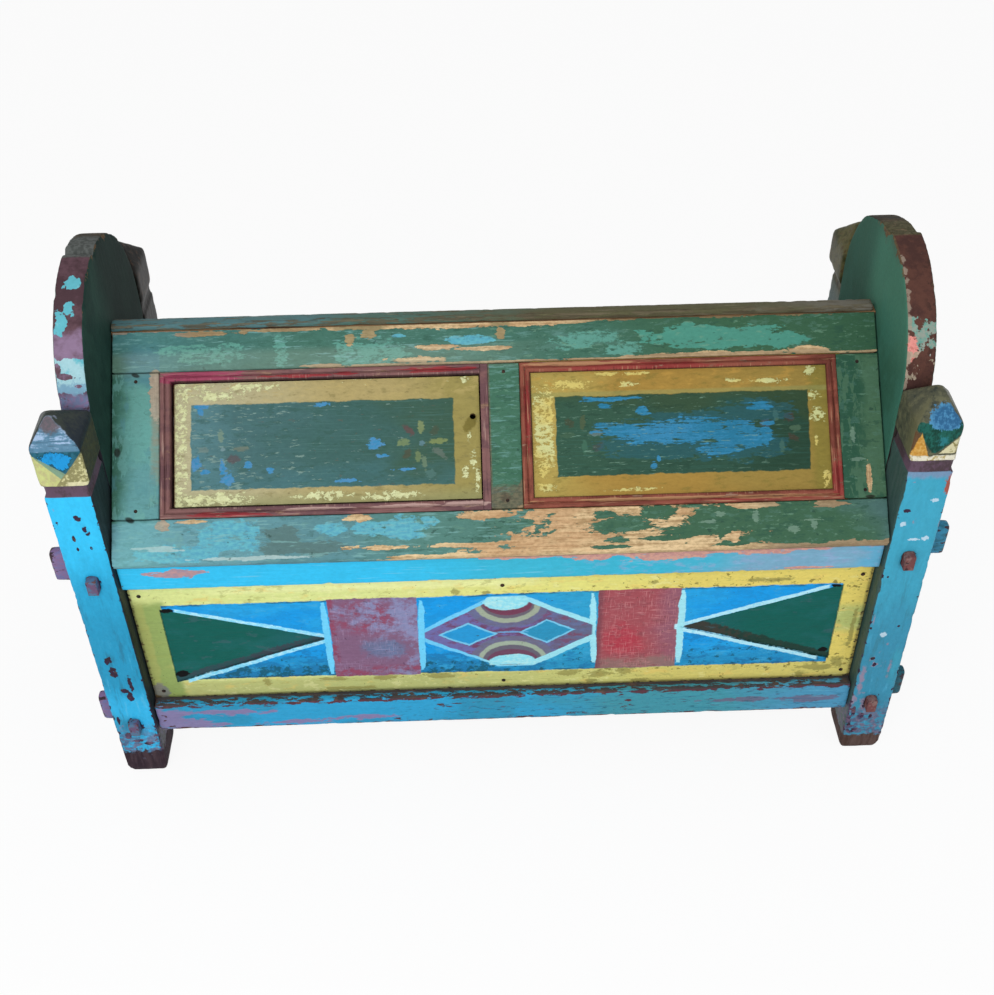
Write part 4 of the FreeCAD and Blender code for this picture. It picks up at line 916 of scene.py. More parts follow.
def front_paint():
    """The painted front board: triangles, bars, squares and a diamond inside a yellow border."""
    p = Paint("front_pattern", "front")
    x, z = p.across, p.up
    p.wood("x", 81, "4A3A28", "8A7048")
    wood = p.colour
    soft = p.noise((130, 60, 60), 82, 3.0)
    fine = p.noise((9, 6, 6), 83, 4.0, 0.65)
    mottle = p.noise((28, 14, 14), 76, 5.0, 0.68)
    brush = p.noise((60, 3.2, 3.2), 84, 3.0)
    plan = p.plan
    p.plan = p.shaken(40, 1.3, 85)
    dash = 1.0 * p.noise(7, 86, 3.0)
    jag = dash + 0.8 * mottle
    border = p.over(
        x.moved(soft, 90).blend("D0D88C", "DAD67C", -300, 60),
        ("DAC868", x.moved(soft, 90).ramp(60, 330)),
        ("B2B674", z.ramp(222, 205) & x.ramp(360, -160, 0.35, 1.0)),
        ("9AB070", 0.75 * (x.ramp(570, 580) & abs(z - 325.0).ramp(46, 16))),
        ("E4E6A4", 0.7 * (z.ramp(424, 436) & abs(x + 220.0).ramp(330, 200))),
        ("DEBE68", 0.5 * p.noise((46, 20, 20), 87, 4.0).ramp(0.2, 0.7)),
        ("9C9A58", 0.5 * mottle.ramp(0.25, 0.65)),
        ("ECEAAC", 0.35 * mottle.ramp(-0.25, -0.6)))
    side_green = x.moved(soft, 8).ramp(-564, -580) & z.moved(soft, 20).ramp(432, 396)
    grass = (soft + x.ramp(-598, -612, -0.4, 0.8)).blend("869C58", "9AA25C", -0.3, 0.5)
    border = p.mix(border, grass, 0.9 * side_green)
    flecks = (p.noise((13, 10, 10), 88, 5.0, 0.66) + x.ramp(-450, 560, -0.22, 0.14)
              + abs(abs(z - 313.0) - 97.0).ramp(26, 4, 0.0, 0.22)).ramp(0.6, 0.74)
    border = p.mix(border, "7C7238", 0.85 * flecks)
    worn = p.patches(0.9 * mottle + 0.7 * fine, *BORDER_STAINS, soft=0.25)
    border = p.over(
        border,
        ("8A8448", 0.75 * worn),
        ("6A6478", 0.7 * p.patches(0.5 * mottle, (-612, 186, 14, 22), soft=0.2)))
    p.colour = border
    blue = p.over(
        soft.blend("1494DC", "229CDA", -0.3, 0.4),
        ("2E9CC8", x.moved(soft, 90).ramp(-60, 120) & x.ramp(330, 150)),
        ("2486B2", 0.7 * z.moved(soft, 30).ramp(270, 236)))
    dirty = z.ramp(268, 232) & x.ramp(80, -60, 0.25, 1.0)
    blue = p.over(
        blue,
        ("1A6496", 0.6 * ((mottle + 0.5 * dirty).ramp(0.05, 0.5) & z.ramp(330, 270, 0.3, 1.0))),
        ("155468", 0.85 * ((p.noise((13, 12, 12), 89, 5.0, 0.66) + 0.55 * dirty).ramp(0.5, 0.7)
                           & z.ramp(320, 250))),
        ("4AA8D2", 0.4 * mottle.ramp(-0.2, -0.6)))
    box = p.box(-575, 573, 218, 407) + x.ramp(-200, 60, 0.0, 4.0)
    field = (box + jag).ramp(-1.0, 1.0)
    p.lay(blue, field)
    p.lay("1E4048", 0.75 * (field & box.ramp(6, 1) & p.noise((30, 8, 8), 90, 3.0).ramp(-0.2, 0.4)))

    # The squares between the bars
    haze = p.noise((30, 26, 26), 91, 5.0, 0.68)
    cross = p.noise((24, 24, 1.8), 92, 2.0).ramp(0.2, 0.6) | p.noise((1.8, 24, 24), 93, 2.0).ramp(0.2, 0.6)
    lilac = haze + z.ramp(250, 390, -0.3, 0.2) + x.ramp(-290, -160, -0.35, 0.3)
    left = p.over(
        lilac.blend("7C5C78", "8084AA", -0.1, 0.7),
        ("8E4058", 0.8 * ((haze + 0.4 * fine).ramp(0.15, -0.3)
                          & (p.oval(-238, 362, 56, 40).ramp(-0.3, 0.5) | z.ramp(246, 230)
                             | x.ramp(-282, -292)))),
        ("5C7092", 0.75 * (p.oval(-205, 284, 60, 32) + 0.5 * haze).ramp(0, 0.6)),
        ("B49CBC", 0.35 * (cross & haze.ramp(-0.2, 0.4))),
        ("4E3450", 0.6 * p.noise((12, 9, 9), 77, 5.0, 0.68).ramp(0.45, 0.7)))
    p.lay(left, (p.box(-297, -146, 214, 409) + jag).ramp(-1, 1))
    right = p.over(
        x.moved(soft, 20).blend("9A4C54", "8C5868", 240, 300),
        ("A83A48", (p.oval(212, 288, 44, 50) + 0.5 * haze).ramp(-0.1, 0.7)),
        ("86706A", 0.75 * z.moved(haze, 14).ramp(246, 226)),
        ("7A4048", 0.5 * mottle.ramp(0.1, 0.5)),
        ("CC8E90", 0.5 * (cross & (mottle + haze).ramp(-0.7, 0.3))),
        ("6A3E4A", 0.7 * x.ramp(177, 166)))
    p.lay(right, (p.box(163, 305, 214, 412) + jag).ramp(-1, 1))

    # The carved triangles; the dark over their lower walls is painted shadow
    for side, tip, high_corner, low_corner, seed, holes in TRIANGLES:
        if side > 0:
            above, below = p.line(high_corner, tip), p.line(tip, low_corner)
        else:
            above, below = p.line(tip, high_corner), p.line(low_corner, tip)
        wedge = above & below & (x + 579.0 if side < 0 else 579.0 - x)
        inside = (wedge + 0.6 * dash).ramp(-0.8, 0.8)
        green = p.over(
            (soft + 0.4 * mottle).blend("0C5850", "165C58", -0.3, 0.4),
            ("1C5A62", 0.6 * abs(x).ramp(440, 340)))
        p.lay(green, inside)
        if side > 0:
            wall = (below + 3.5 * jag + x.ramp(330, 560, -4.0, 4.0)).ramp(21, 16)
            deep = (fine + x.ramp(480, 330, -0.6, 0.6)).blend("1E342C", "3A3028", -0.4, 0.5)
        else:
            wall = (below + 3.0 * jag).ramp(15, 11)
            deep = (fine + soft).blend("2C4A50", "3C3C48", -0.4, 0.6)
        p.lay(deep, 0.88 * (inside & wall))
        p.lay("3A5A60", 0.5 * (inside & p.noise((40, 16, 16), seed, 4.0).ramp(0.5, 0.7)))
        for line, start in ((above, 545), (below, 548)):
            stroke = (abs(line + 4.4) + 1.1 * dash).ramp(5.0, 3.2)
            ends = abs(x).ramp(start + 13, start + 7) & abs(x).ramp(296, 300)
            tone = (fine + 0.5 * soft).ramp(-0.5, 0.6) if side < 0 else fine.ramp(-1.2, 0.2)
            p.lay(p.mix("80D4F0", "B2E2EE", tone), 0.95 * (stroke & ends))
        # Painted shadow: the deep corners of the carving are painted near black.
        for level, wide, tall in holes:
            hole = p.oval(side * 567.5, level, wide, tall, -8 * side) + 0.3 * fine
            p.lay("040506", hole.ramp(-0.05, 0.2))

    # Bars and diamond
    bars = (p.box(-309, -298, 219, 405, 0.6) | p.box(-146, -135, 222, 404, -1.2)
            | p.box(151, 161.5, 226, 409, 2.2) | p.box(302.5, 314.5, 220, 410, 1.2))
    taper = abs(z - 312.0).ramp(60, 96, 0.0, -3.4)
    p.lay(x.moved(soft, 60).blend("6AC8EE", "9CDCE8", -150, 200), (bars + taper + 1.3 * dash).ramp(-0.9, 0.9))
    p.plan = p.shaken(60, 2.2, 96)
    sides = (p.line((-38.5, 383), (-121, 330)), p.line((150, 330), (46, 388)),
             p.line((59.6, 245.4), (150, 301)), p.line((-136.5, 307), (-23, 241.5)))
    band = sides[0] + 8.5 & sides[1] + 10.5 & sides[2] + 12.0 & sides[3] + x.ramp(-140, -40, 9.0, 5.0)
    level = z.ramp(406, 403) & z.ramp(227, 230)
    between = x.ramp(-137, -134) & x.ramp(157, 153)
    diamond = sides[0] & sides[1] & sides[2] & sides[3]
    p.lay(x.moved(soft, 60).blend("6CC6EE", "9ADCE8", -90, 90),
          0.95 * ((band + dash).ramp(-1, 1) & level & between))
    clear = (diamond + 0.8 * dash).ramp(-0.8, 1.2) & z.ramp(404, 400) & z.ramp(230, 236)
    violet = p.noise((26, 12, 12), 97, 5.0, 0.66) + x.ramp(-110, 20, -0.3, 0.15)
    inner = p.over(
        violet.blend("6A68A0", "6A4262", -0.3, 0.4),
        ("5C6C88", 0.7 * x.moved(mottle, 30).ramp(30, 130)),
        ("7A3A52", 0.6 * p.noise((18, 9, 9), 78, 4.0).ramp(0.25, 0.55)))
    p.lay(inner, clear & between)
    for middle, level_z, rings in RAINBOWS:
        for wide, tall, colour in rings:
            ring = p.oval(middle, level_z, wide, tall) * float(tall)
            cover = 0.75 if (wide, tall, colour) == rings[0] else 0.92
            p.lay(colour, cover * ((ring + 0.9 * dash).ramp(-1.3, 1.3) & clear))
    moon = (fine + mottle).blend("8CD8E8", "A8DCE0", -0.5, 0.6)
    high_moon = (p.oval(6, 391, 39, 20) * 19.0 + 0.8 * dash).ramp(-0.8, 1.0) & z.moved(dash, 1).ramp(405, 402)
    low_moon = (p.oval(16, 238, 42, 21) * 20.0 + 0.8 * dash).ramp(-0.8, 1.0) & z.moved(dash, 1).ramp(231, 234)
    p.lay(moon, high_moon)
    p.lay(moon, low_moon)
    for middle, level_z, wide, tall in ((-60, 313, 48, 27), (76, 316, 46, 28)):
        east, west = (middle + wide, level_z), (middle - wide, level_z)
        north, south = (middle, level_z + tall), (middle, level_z - tall)
        lens = p.line(east, north) & p.line(north, west) & (p.line(west, south) & p.line(south, east))
        p.lay("72C6E8", 0.9 * (lens + 0.8 * dash).ramp(-2.6, -1.0))
        p.lay("2592CC" if middle < 0 else "2A8CB4", (lens + 0.8 * dash).ramp(1.0, 2.6))
    p.lay("66A8D4", 0.7 * (p.oval(10, 317, 34, 2.2) + 0.4 * fine).ramp(-0.1, 0.3))
    p.plan = plan
    lower = z.ramp(182, 174) + abs(x).ramp(612, 622)
    gone = (0.6 * p.noise((14, 9, 9), 98, 4.0, 0.65) + 0.75 * lower + 0.7 * p.edge).ramp(0.75, 0.95)
    gone = gone | ~p.y.ramp(-249, -252)
    specks = p.noise((5, 4, 4), 99, 2.0).ramp(0.86, 1.02)
    p.lay(p.mix(wood, "4A4638", 0.5), gone)
    p.lay("34402E", 0.75 * specks)
    # Painted shade: darker along the bottom and at the ends, where the board meets the rail and the posts.
    p.lay("2A261E", 0.6 * (z.ramp(181, 173) | abs(x + 1.0).ramp(617, 624)))
    p.shade(brush, 0.05)
    p.shade(fine, 0.08)
    p.shade(mottle, 0.04)
    height = 0.35 * ~gone + 0.12 * brush + 0.1 * fine + 0.08 * mottle - 0.15 * flecks
    return p.finish(brush.ramp(-1, 1, 0.38, 0.58), height)


def post_paint(name, side, front):
    """Sky-blue posts, chipped to a dark older coat, with brown feet, necks and faceted finials."""
    p = Paint(name, "front")
    x, y, z = p.x, p.y, p.z
    p.wood("z", 101 + side + 2 * front, "4A342A", "8A6650")
    wood = p.colour
    soft = p.noise((60, 60, 150), 103 + side, 3.0)
    fine = p.noise((5, 5, 8), 104, 4.0, 0.65)
    rub = p.noise((9, 9, 60), 105 + side, 4.0, 0.6)
    rag = p.noise((11, 11, 14), 107, 5.0, 0.66)
    top, foot = ("34BAEA", "2690B8") if side < 0 else ("3E9FBC", "3888A6")
    if not front:
        top, foot = ("2C5A64", "33707E")
    turn = (360, 600) if side < 0 else (250, 520)
    coat = p.mix(foot, top, z.moved(soft, 60).ramp(*turn))
    if front and side < 0:
        coat = p.mix(coat, "34B2E4", 0.8 * z.moved(soft, 30).ramp(250, 180))
    coat = p.over(
        coat,
        ("2C84A0" if side < 0 else "3E9AB0", 0.6 * soft.ramp(0.2, 0.8)),
        ("58B0D2", 0.4 * (rub.ramp(0.35, 0.8) & z.ramp(420, 180))),
        ("2A708C" if side < 0 else "3A7A8C", 0.6 * (rub.ramp(-0.15, -0.8) & z.ramp(520, 330))))
    under = p.over(
        fine.blend("3A2844", "34282E", -0.5, 0.5),
        (wood, 0.4 * p.noise(16, 106, 3.0).ramp(0.2, 0.7)))
    mauve = 0.2 * p.edge + p.noise((26, 26, 40), 119 + side, 3.0)
    if front and side < 0:
        mauve = mauve | p.spots((-673, 550, 8, 16), (-690, 655, 8, 14), (-668, 100, 36, 30))
    elif front:
        mauve = mauve | p.spots(*RIGHT_POST_MAUVE)
    mauve = (mauve + 0.3 * rag + (z.ramp(420, 60, 0.0, 0.3) if side > 0 else 0.0)).ramp(0.78, 1.1)
    coat = p.mix(coat, "8E82A4" if side < 0 else "967E92", 0.8 * mauve)
    if side > 0 and front:
        coat = p.over(
            coat,
            ("9C5348", (p.oval(704, 655, 15, 28) + 0.3 * fine).ramp(0, 0.2)
             & y.moved(rag, 6).ramp(-270, -274)),
            ("7E86A6", 0.7 * z.moved(rag, 6).ramp(662, 674)))
        white = p.spots(*WHITE_SPOTS)
        coat = p.mix(coat, "C4D8E6", 0.8 * (white + 0.5 * fine).ramp(0.0, 0.3))
    glints = p.noise((7, 7, 9), 108, 3.0) + z.ramp(640, 100, -0.1, 0.1)
    coat = p.mix(coat, "A9D4E6", 0.6 * glints.ramp(1.0, 1.12))
    chips = z.ramp(300, 90, -1.16, -0.8) + 0.95 * p.edge
    if front:
        spots = p.spots(*(LEFT_POST_CHIPS if side < 0 else RIGHT_POST_CHIPS))
        chips = chips | spots.ramp(-0.4, 0.6, -1.5, 0.5) + 0.35 * rag
    gone = (rag + chips).ramp(-0.02, 0.05)
    # Painted shade: the inner side of each post is painted darker.
    inner_side_shade = rub.blend("20292C", "2A3438", -0.5, 0.5) if side < 0 else rub.blend("38524E", "425654", -0.5, 0.5)
    coat = p.mix(coat, inner_side_shade, (p.facing[0] * float(-side)).ramp(0.5, 0.7))
    p.colour = p.mix(coat, under, gone)
    border = z.moved(p.noise((14, 14, 14), 110 + side, 4.0, 0.62), 13)
    scuffs = border.ramp(150, 84) & p.noise((16, 10, 10), 111, 4.0, 0.62).ramp(-0.3, 0.2)
    p.lay(rag.blend("4E4E6A", "745E74", -0.3, 0.4), 0.8 * scuffs)
    shoe = border.ramp(66 if side < 0 else 48, 58 if side < 0 else 41)
    dark, light = ("30242C", "42343A") if side < 0 else ("46342E", "5A4844")
    p.lay(rub.blend(dark, light, -0.5, 0.6), shoe)
    p.lay("5E5E72", 0.5 * (shoe & p.noise((9, 9, 16), 112, 4.0, 0.62).ramp(0.62, 0.8)))
    neck = z.ramp(678.5, 680.5) & z.ramp(706, 703)
    p.lay((soft + 0.6 * fine).blend("5E4A5A", "46383E", -0.4, 0.4), neck)
    finial = z.ramp(702.5, 704)
    smear = p.noise((26, 26, 3.2), 113, 3.0)
    if not front:
        dark, light = ("12110F", "1E1B18") if side < 0 else ("38381F", "585434")
        p.lay(p.mix(dark, light, (soft + rag).ramp(-0.6, 0.6)),
              z.ramp(640 if side > 0 else 560, 700 if side > 0 else 620))
        p.lay("545A50", (0.5 if side > 0 else 0.2) * (finial & smear.ramp(0.5, 0.8)))
        p.lay("4A3424", 0.6 * (finial & rag.ramp(0.2, 0.5)))
    elif side < 0:
        # Painted shade: the finial's faces other than the front are painted in darkened blue, and in darkened
        # olive yellow low down.
        p.lay((soft + 0.4 * fine).blend("242C34", "363C38", -0.5, 0.5), finial)
        p.lay(fine.blend("48462E", "35342A", -0.4, 0.4), finial & z.ramp(772, 766))
        face = finial & p.facing[1].ramp(-0.35, -0.5)
        streak = p.over(
            (smear + 0.4 * fine + z.ramp(778, 786, -0.4, 0.3)).blend("567E98", "9AB4D2", 0.0, 0.6),
            ("3E5868", 0.5 * smear.ramp(-0.2, -0.7)))
        p.lay(streak, face & z.ramp(769, 771))
        p.lay(fine.blend("6A6068", "5A585E", -0.5, 0.5),
              face & (z.moved(fine, 3.5) - abs(x + 668.0) * 0.3).ramp(789, 795))
        p.lay(fine.blend("2A6478", "1C4E5C", -0.4, 0.4), face & z.ramp(773, 769))
        blue = p.spots((-664, 757, 25, 13), (-658, 748, 13, 12)) + 0.35 * fine
        p.lay((fine + soft).blend("1E90D0", "1870A0", -0.4, 0.5), face & blue.ramp(0.0, 0.12))
        p.lay("184450", 0.8 * (face & abs(blue - 0.02).ramp(0.12, 0.04)))
        corner = p.line((-700, 766), (-657, 730)) * -1.0
        p.lay("7A9880", face & (corner + 0.5 * fine).ramp(-0.8, 0.4))
        low = p.line((-701, 763), (-658, 707)) * -1.0
        p.lay((rag + 0.5 * fine).blend("BEC480", "B2AE7C", -0.3, 0.5),
              face & (low + 0.6 * fine).ramp(-1.0, 0.6))
        # Painted shade: the lower right corner facet is painted a darker yellow than the lower left one.
        other = p.line((-652, 732), (-624, 768)) * -1.0
        p.lay("8A865C", face & (other + 0.5 * fine).ramp(-0.8, 0.4))
        p.lay(fine.blend("CCC894", "E0DCB8", 0.0, 0.5),
              0.9 * (face & other.ramp(1.0, 2.5) & p.noise((7, 7, 7), 114, 4.0, 0.62).ramp(0.0, 0.4)))
        p.lay("D4D0A8", 0.8 * (face & z.moved(fine, 1).ramp(710.5, 709) & x.ramp(-661, -654)))
    else:
        grimy = rag.blend("4A4C3E", "62624C", -0.3, 0.5)
        p.lay(p.mix(grimy, "2C3430", 0.7 * p.noise(12, 117, 4.0, 0.62).ramp(0.2, 0.6)), finial)
        inner = finial & p.facing[0].ramp(-0.5, -0.7)
        p.lay("66654A", 0.8 * (inner & y.ramp(-250, -276)))
        face = finial & p.facing[1].ramp(-0.35, -0.5)
        dark = (p.line((638, 745), (655, 720)) & p.line((655, 720), (664, 720))
                & p.line((664, 720), (697, 757)) & p.line((697, 775), (640, 775)))
        p.lay((fine + soft).blend("143E34", "1E5A50", -0.4, 0.4), face & (dark + 1.4 * fine).ramp(-1.0, 1.0))
        p.lay("2C7A84", 0.7 * (face & (p.oval(668, 742, 12, 14) + 0.6 * fine).ramp(0.2, 0.6)))
        patch = p.oval(669, 779, 26, 17) + 0.3 * fine
        p.lay((fine + patch.ramp(0.4, 0.0, 0.0, 0.5)).blend("2E6088", "4A86AE", -0.2, 0.7),
              face & patch.ramp(-0.04, 0.1))
        ochre = (p.line((633, 757), (625, 716)) & p.line((625, 712), (652, 712))
                 & p.line((652, 712), (634, 758)))
        p.lay("5E4630", face & x.ramp(634, 630) & z.ramp(762, 757))
        p.lay(fine.blend("BC8838", "CCA358", -0.2, 0.5), face & (ochre + 0.6 * fine).ramp(-0.8, 0.8))
        cream = p.line((668, 716), (702, 716)) & p.line((668, 716), (700, 756)) * -1.0
        p.lay(p.noise(8, 115, 3.0).blend("CCC6A0", "8A8050", 0.0, 0.4),
              face & (cream + 0.8 * fine).ramp(-0.8, 0.8))
        p.lay(p.noise(9, 116, 3.0).blend("D8D4C0", "AC9C6A", 0.1, 0.5),
              face & z.moved(fine, 1).ramp(713.5, 711))
    p.lay("3A3430", 0.7 * (finial & (0.9 * p.edge + 0.5 * fine).ramp(1.0, 1.2)))
    p.shade(fine, 0.08)
    p.shade(rub, 0.06)
    height = 0.4 * ~(gone | shoe) + 0.12 * fine + 0.14 * rub + 0.1 * rag
    return p.finish((gone | shoe).ramp(0, 1, 0.42, 0.72), height)


def rail_paint(name, upper):
    """Blue coats on the front rails, flaked to salmon, mauve and brown."""
    p = Paint(name, "front")
    x, y, z = p.x, p.y, p.z
    p.wood("x", 121 + upper, "4A342A", "8E6A52")
    wood = p.colour
    soft = p.noise((150, 60, 60), 123, 3.0)
    fine = p.noise((8, 5, 5), 124, 4.0, 0.65)
    rub = p.noise((80, 4, 4), 125, 3.0)
    mottle = p.noise((30, 12, 12), 131, 5.0, 0.68)
    rag = streaked(p, 126, 40, 12)
    if upper:
        coat = p.over(
            x.moved(soft, 90).blend("32B8E6", "3AAECA", -300, 80),
            ("74A2BC", x.moved(soft, 90).ramp(230, 470)),
            ("58A8CA", 0.8 * x.moved(soft, 40).ramp(560, 600)),
            ("74BCD4", 0.5 * rub.ramp(0.4, 0.8)),
            ("8A9CC0", 0.5 * (mottle.ramp(0.0, 0.5) & x.ramp(60, 240))))
        salmon = z.ramp(501, 515, -1.0, 0.55) + x.ramp(-120, 30, -1.0, 0.0) + x.ramp(480, 600, 0.0, -0.8)
        coat = p.mix(coat, fine.blend("9C8896", "B08A8C", -0.3, 0.4),
                     p.patches(1.2 * rag + 0.3 * mottle, (-533, 500, 38, 9)))
        salmon = (salmon | p.spots((150, 514, 36, 13), (260, 512, 70, 15), (430, 514, 50, 11))
                  | z.ramp(520, 530, -1.0, 0.15) + x.ramp(-640, -500, 0.0, -0.3)
                  | p.spots((600, 528, 22, 5), (500, 470, 60, 3)))
        share = (salmon + 0.9 * rag + 0.3 * mottle).ramp(0.0, 0.15)
        coat = p.mix(coat, fine.blend("D29A84", "B8827A", -0.4, 0.4), 0.92 * share)
        gone = (0.75 * p.noise((22, 9, 9), 127, 5.0, 0.62) + 0.55 * p.edge).ramp(0.92, 0.98)
        dark = fine.blend("5A3E44", "6E5248", -0.5, 0.5)
    else:
        coat = p.over(
            (soft + 0.5 * mottle).blend("2E9AC8", "2C8CB2", -0.3, 0.4),
            ("3F8E9E", x.moved(soft, 90).ramp(-60, 260)),
            ("4A90B4", x.moved(soft, 90).ramp(380, 600)))
        stain = p.patches(1.2 * rag + 0.5 * mottle, *LOWER_RAIL_STAINS, soft=0.2)
        coat = p.over(
            coat,
            ((x + 300.0 * mottle).blend("8A7098", "665A74", 0, 300), 0.8 * stain),
            ("1C6080", 0.5 * (rub.ramp(0.35, 0.7) & x.ramp(-120, 200))))
        crackle = p.noise((24, 5, 5), 132, 5.0, 0.7).ramp(0.3, 0.44) & x.ramp(-260, -100)
        coat = p.over(
            coat,
            (fine.blend("20586C", "4A4C60", -0.3, 0.4), 0.75 * crackle),
            ("6ABCD8", 0.4 * (rub.ramp(-0.4, -0.8) & x.ramp(260, 500))))
        by_edge = abs(z - 137.0).ramp(16, 35, -0.18, 0.62)
        marks = p.spots(*LOWER_RAIL_MARKS)
        by_edge = by_edge | marks.ramp(-0.4, 0.5, -0.6, 0.55)
        gone = (0.85 * p.noise((26, 8, 8), 128, 5.0, 0.66) + by_edge + 0.35 * p.edge).ramp(0.7, 0.78)
        dark = fine.blend("5E3442", "4A3A3C", -0.5, 0.5)
        ledge = p.facing[2].ramp(0.6, 0.8) & z.ramp(168, 171)
        gone = gone | ledge & y.moved(mottle, 4).ramp(-267, -263)
        dark = p.mix(dark, rub.blend("4A4444", "3C3A3C", -0.5, 0.5), ledge)
    tenon = abs(x).ramp(699, 701)
    p.colour = p.mix(coat, p.mix(dark, wood, 0.3 * p.noise(20, 129, 3.0).ramp(0.1, 0.7)), gone)
    left_end = (soft + fine).blend("82688C", "6C6C96", -0.5, 0.5)
    if upper:
        right_end = mottle.blend("3B84A4", "2F6678", -0.3, 0.5)
    else:
        right_end = fine.blend("2C525C", "2A6070", -0.4, 0.4)
    ends = p.mix(left_end, right_end, x.ramp(-10, 10))
    scar = (p.noise((16, 9, 9), 130, 4.0, 0.62) + 0.5 * p.edge).ramp(0.5, 0.6)
    p.lay(p.mix(ends, "3E3038", scar), tenon)
    inside = y.ramp(-234, -231)
    p.lay(wood, inside & ~tenon)
    p.shade(fine, 0.08)
    p.shade(rub, 0.05)
    p.shade(mottle, 0.05)
    height = 0.35 * ~gone + 0.1 * fine + 0.1 * rub + 0.08 * mottle
    return p.finish(gone.ramp(0, 1, 0.42, 0.7), height)


def peg_paint():
    """Pegs in mauve on the left and brown red on the right."""
    p = Paint("peg_paint", "front")
    p.wood("x", 141, "4A3030", "7A5656")
    wood = p.colour
    fine = p.noise((5, 5, 6), 142, 4.0, 0.65)
    soft = p.noise(22, 143, 3.0)
    left = (soft + 0.4 * fine).blend("52708C", "64506C", -0.2, 0.5)
    right = (soft + 0.5 * fine).blend("6E4444", "826662", -0.2, 0.5)
    p.colour = p.mix(left, right, p.x.ramp(-10, 10))
    p.lay(wood, (fine + 0.8 * p.edge).ramp(0.5, 0.9))
    p.lay("2C2226", 0.8 * p.noise(11, 144, 3.0).ramp(0.45, 0.6))
    p.shade(fine, 0.1)
    return p.finish(fine.ramp(-1, 1, 0.55, 0.75), 0.25 * fine + 0.3 * soft)


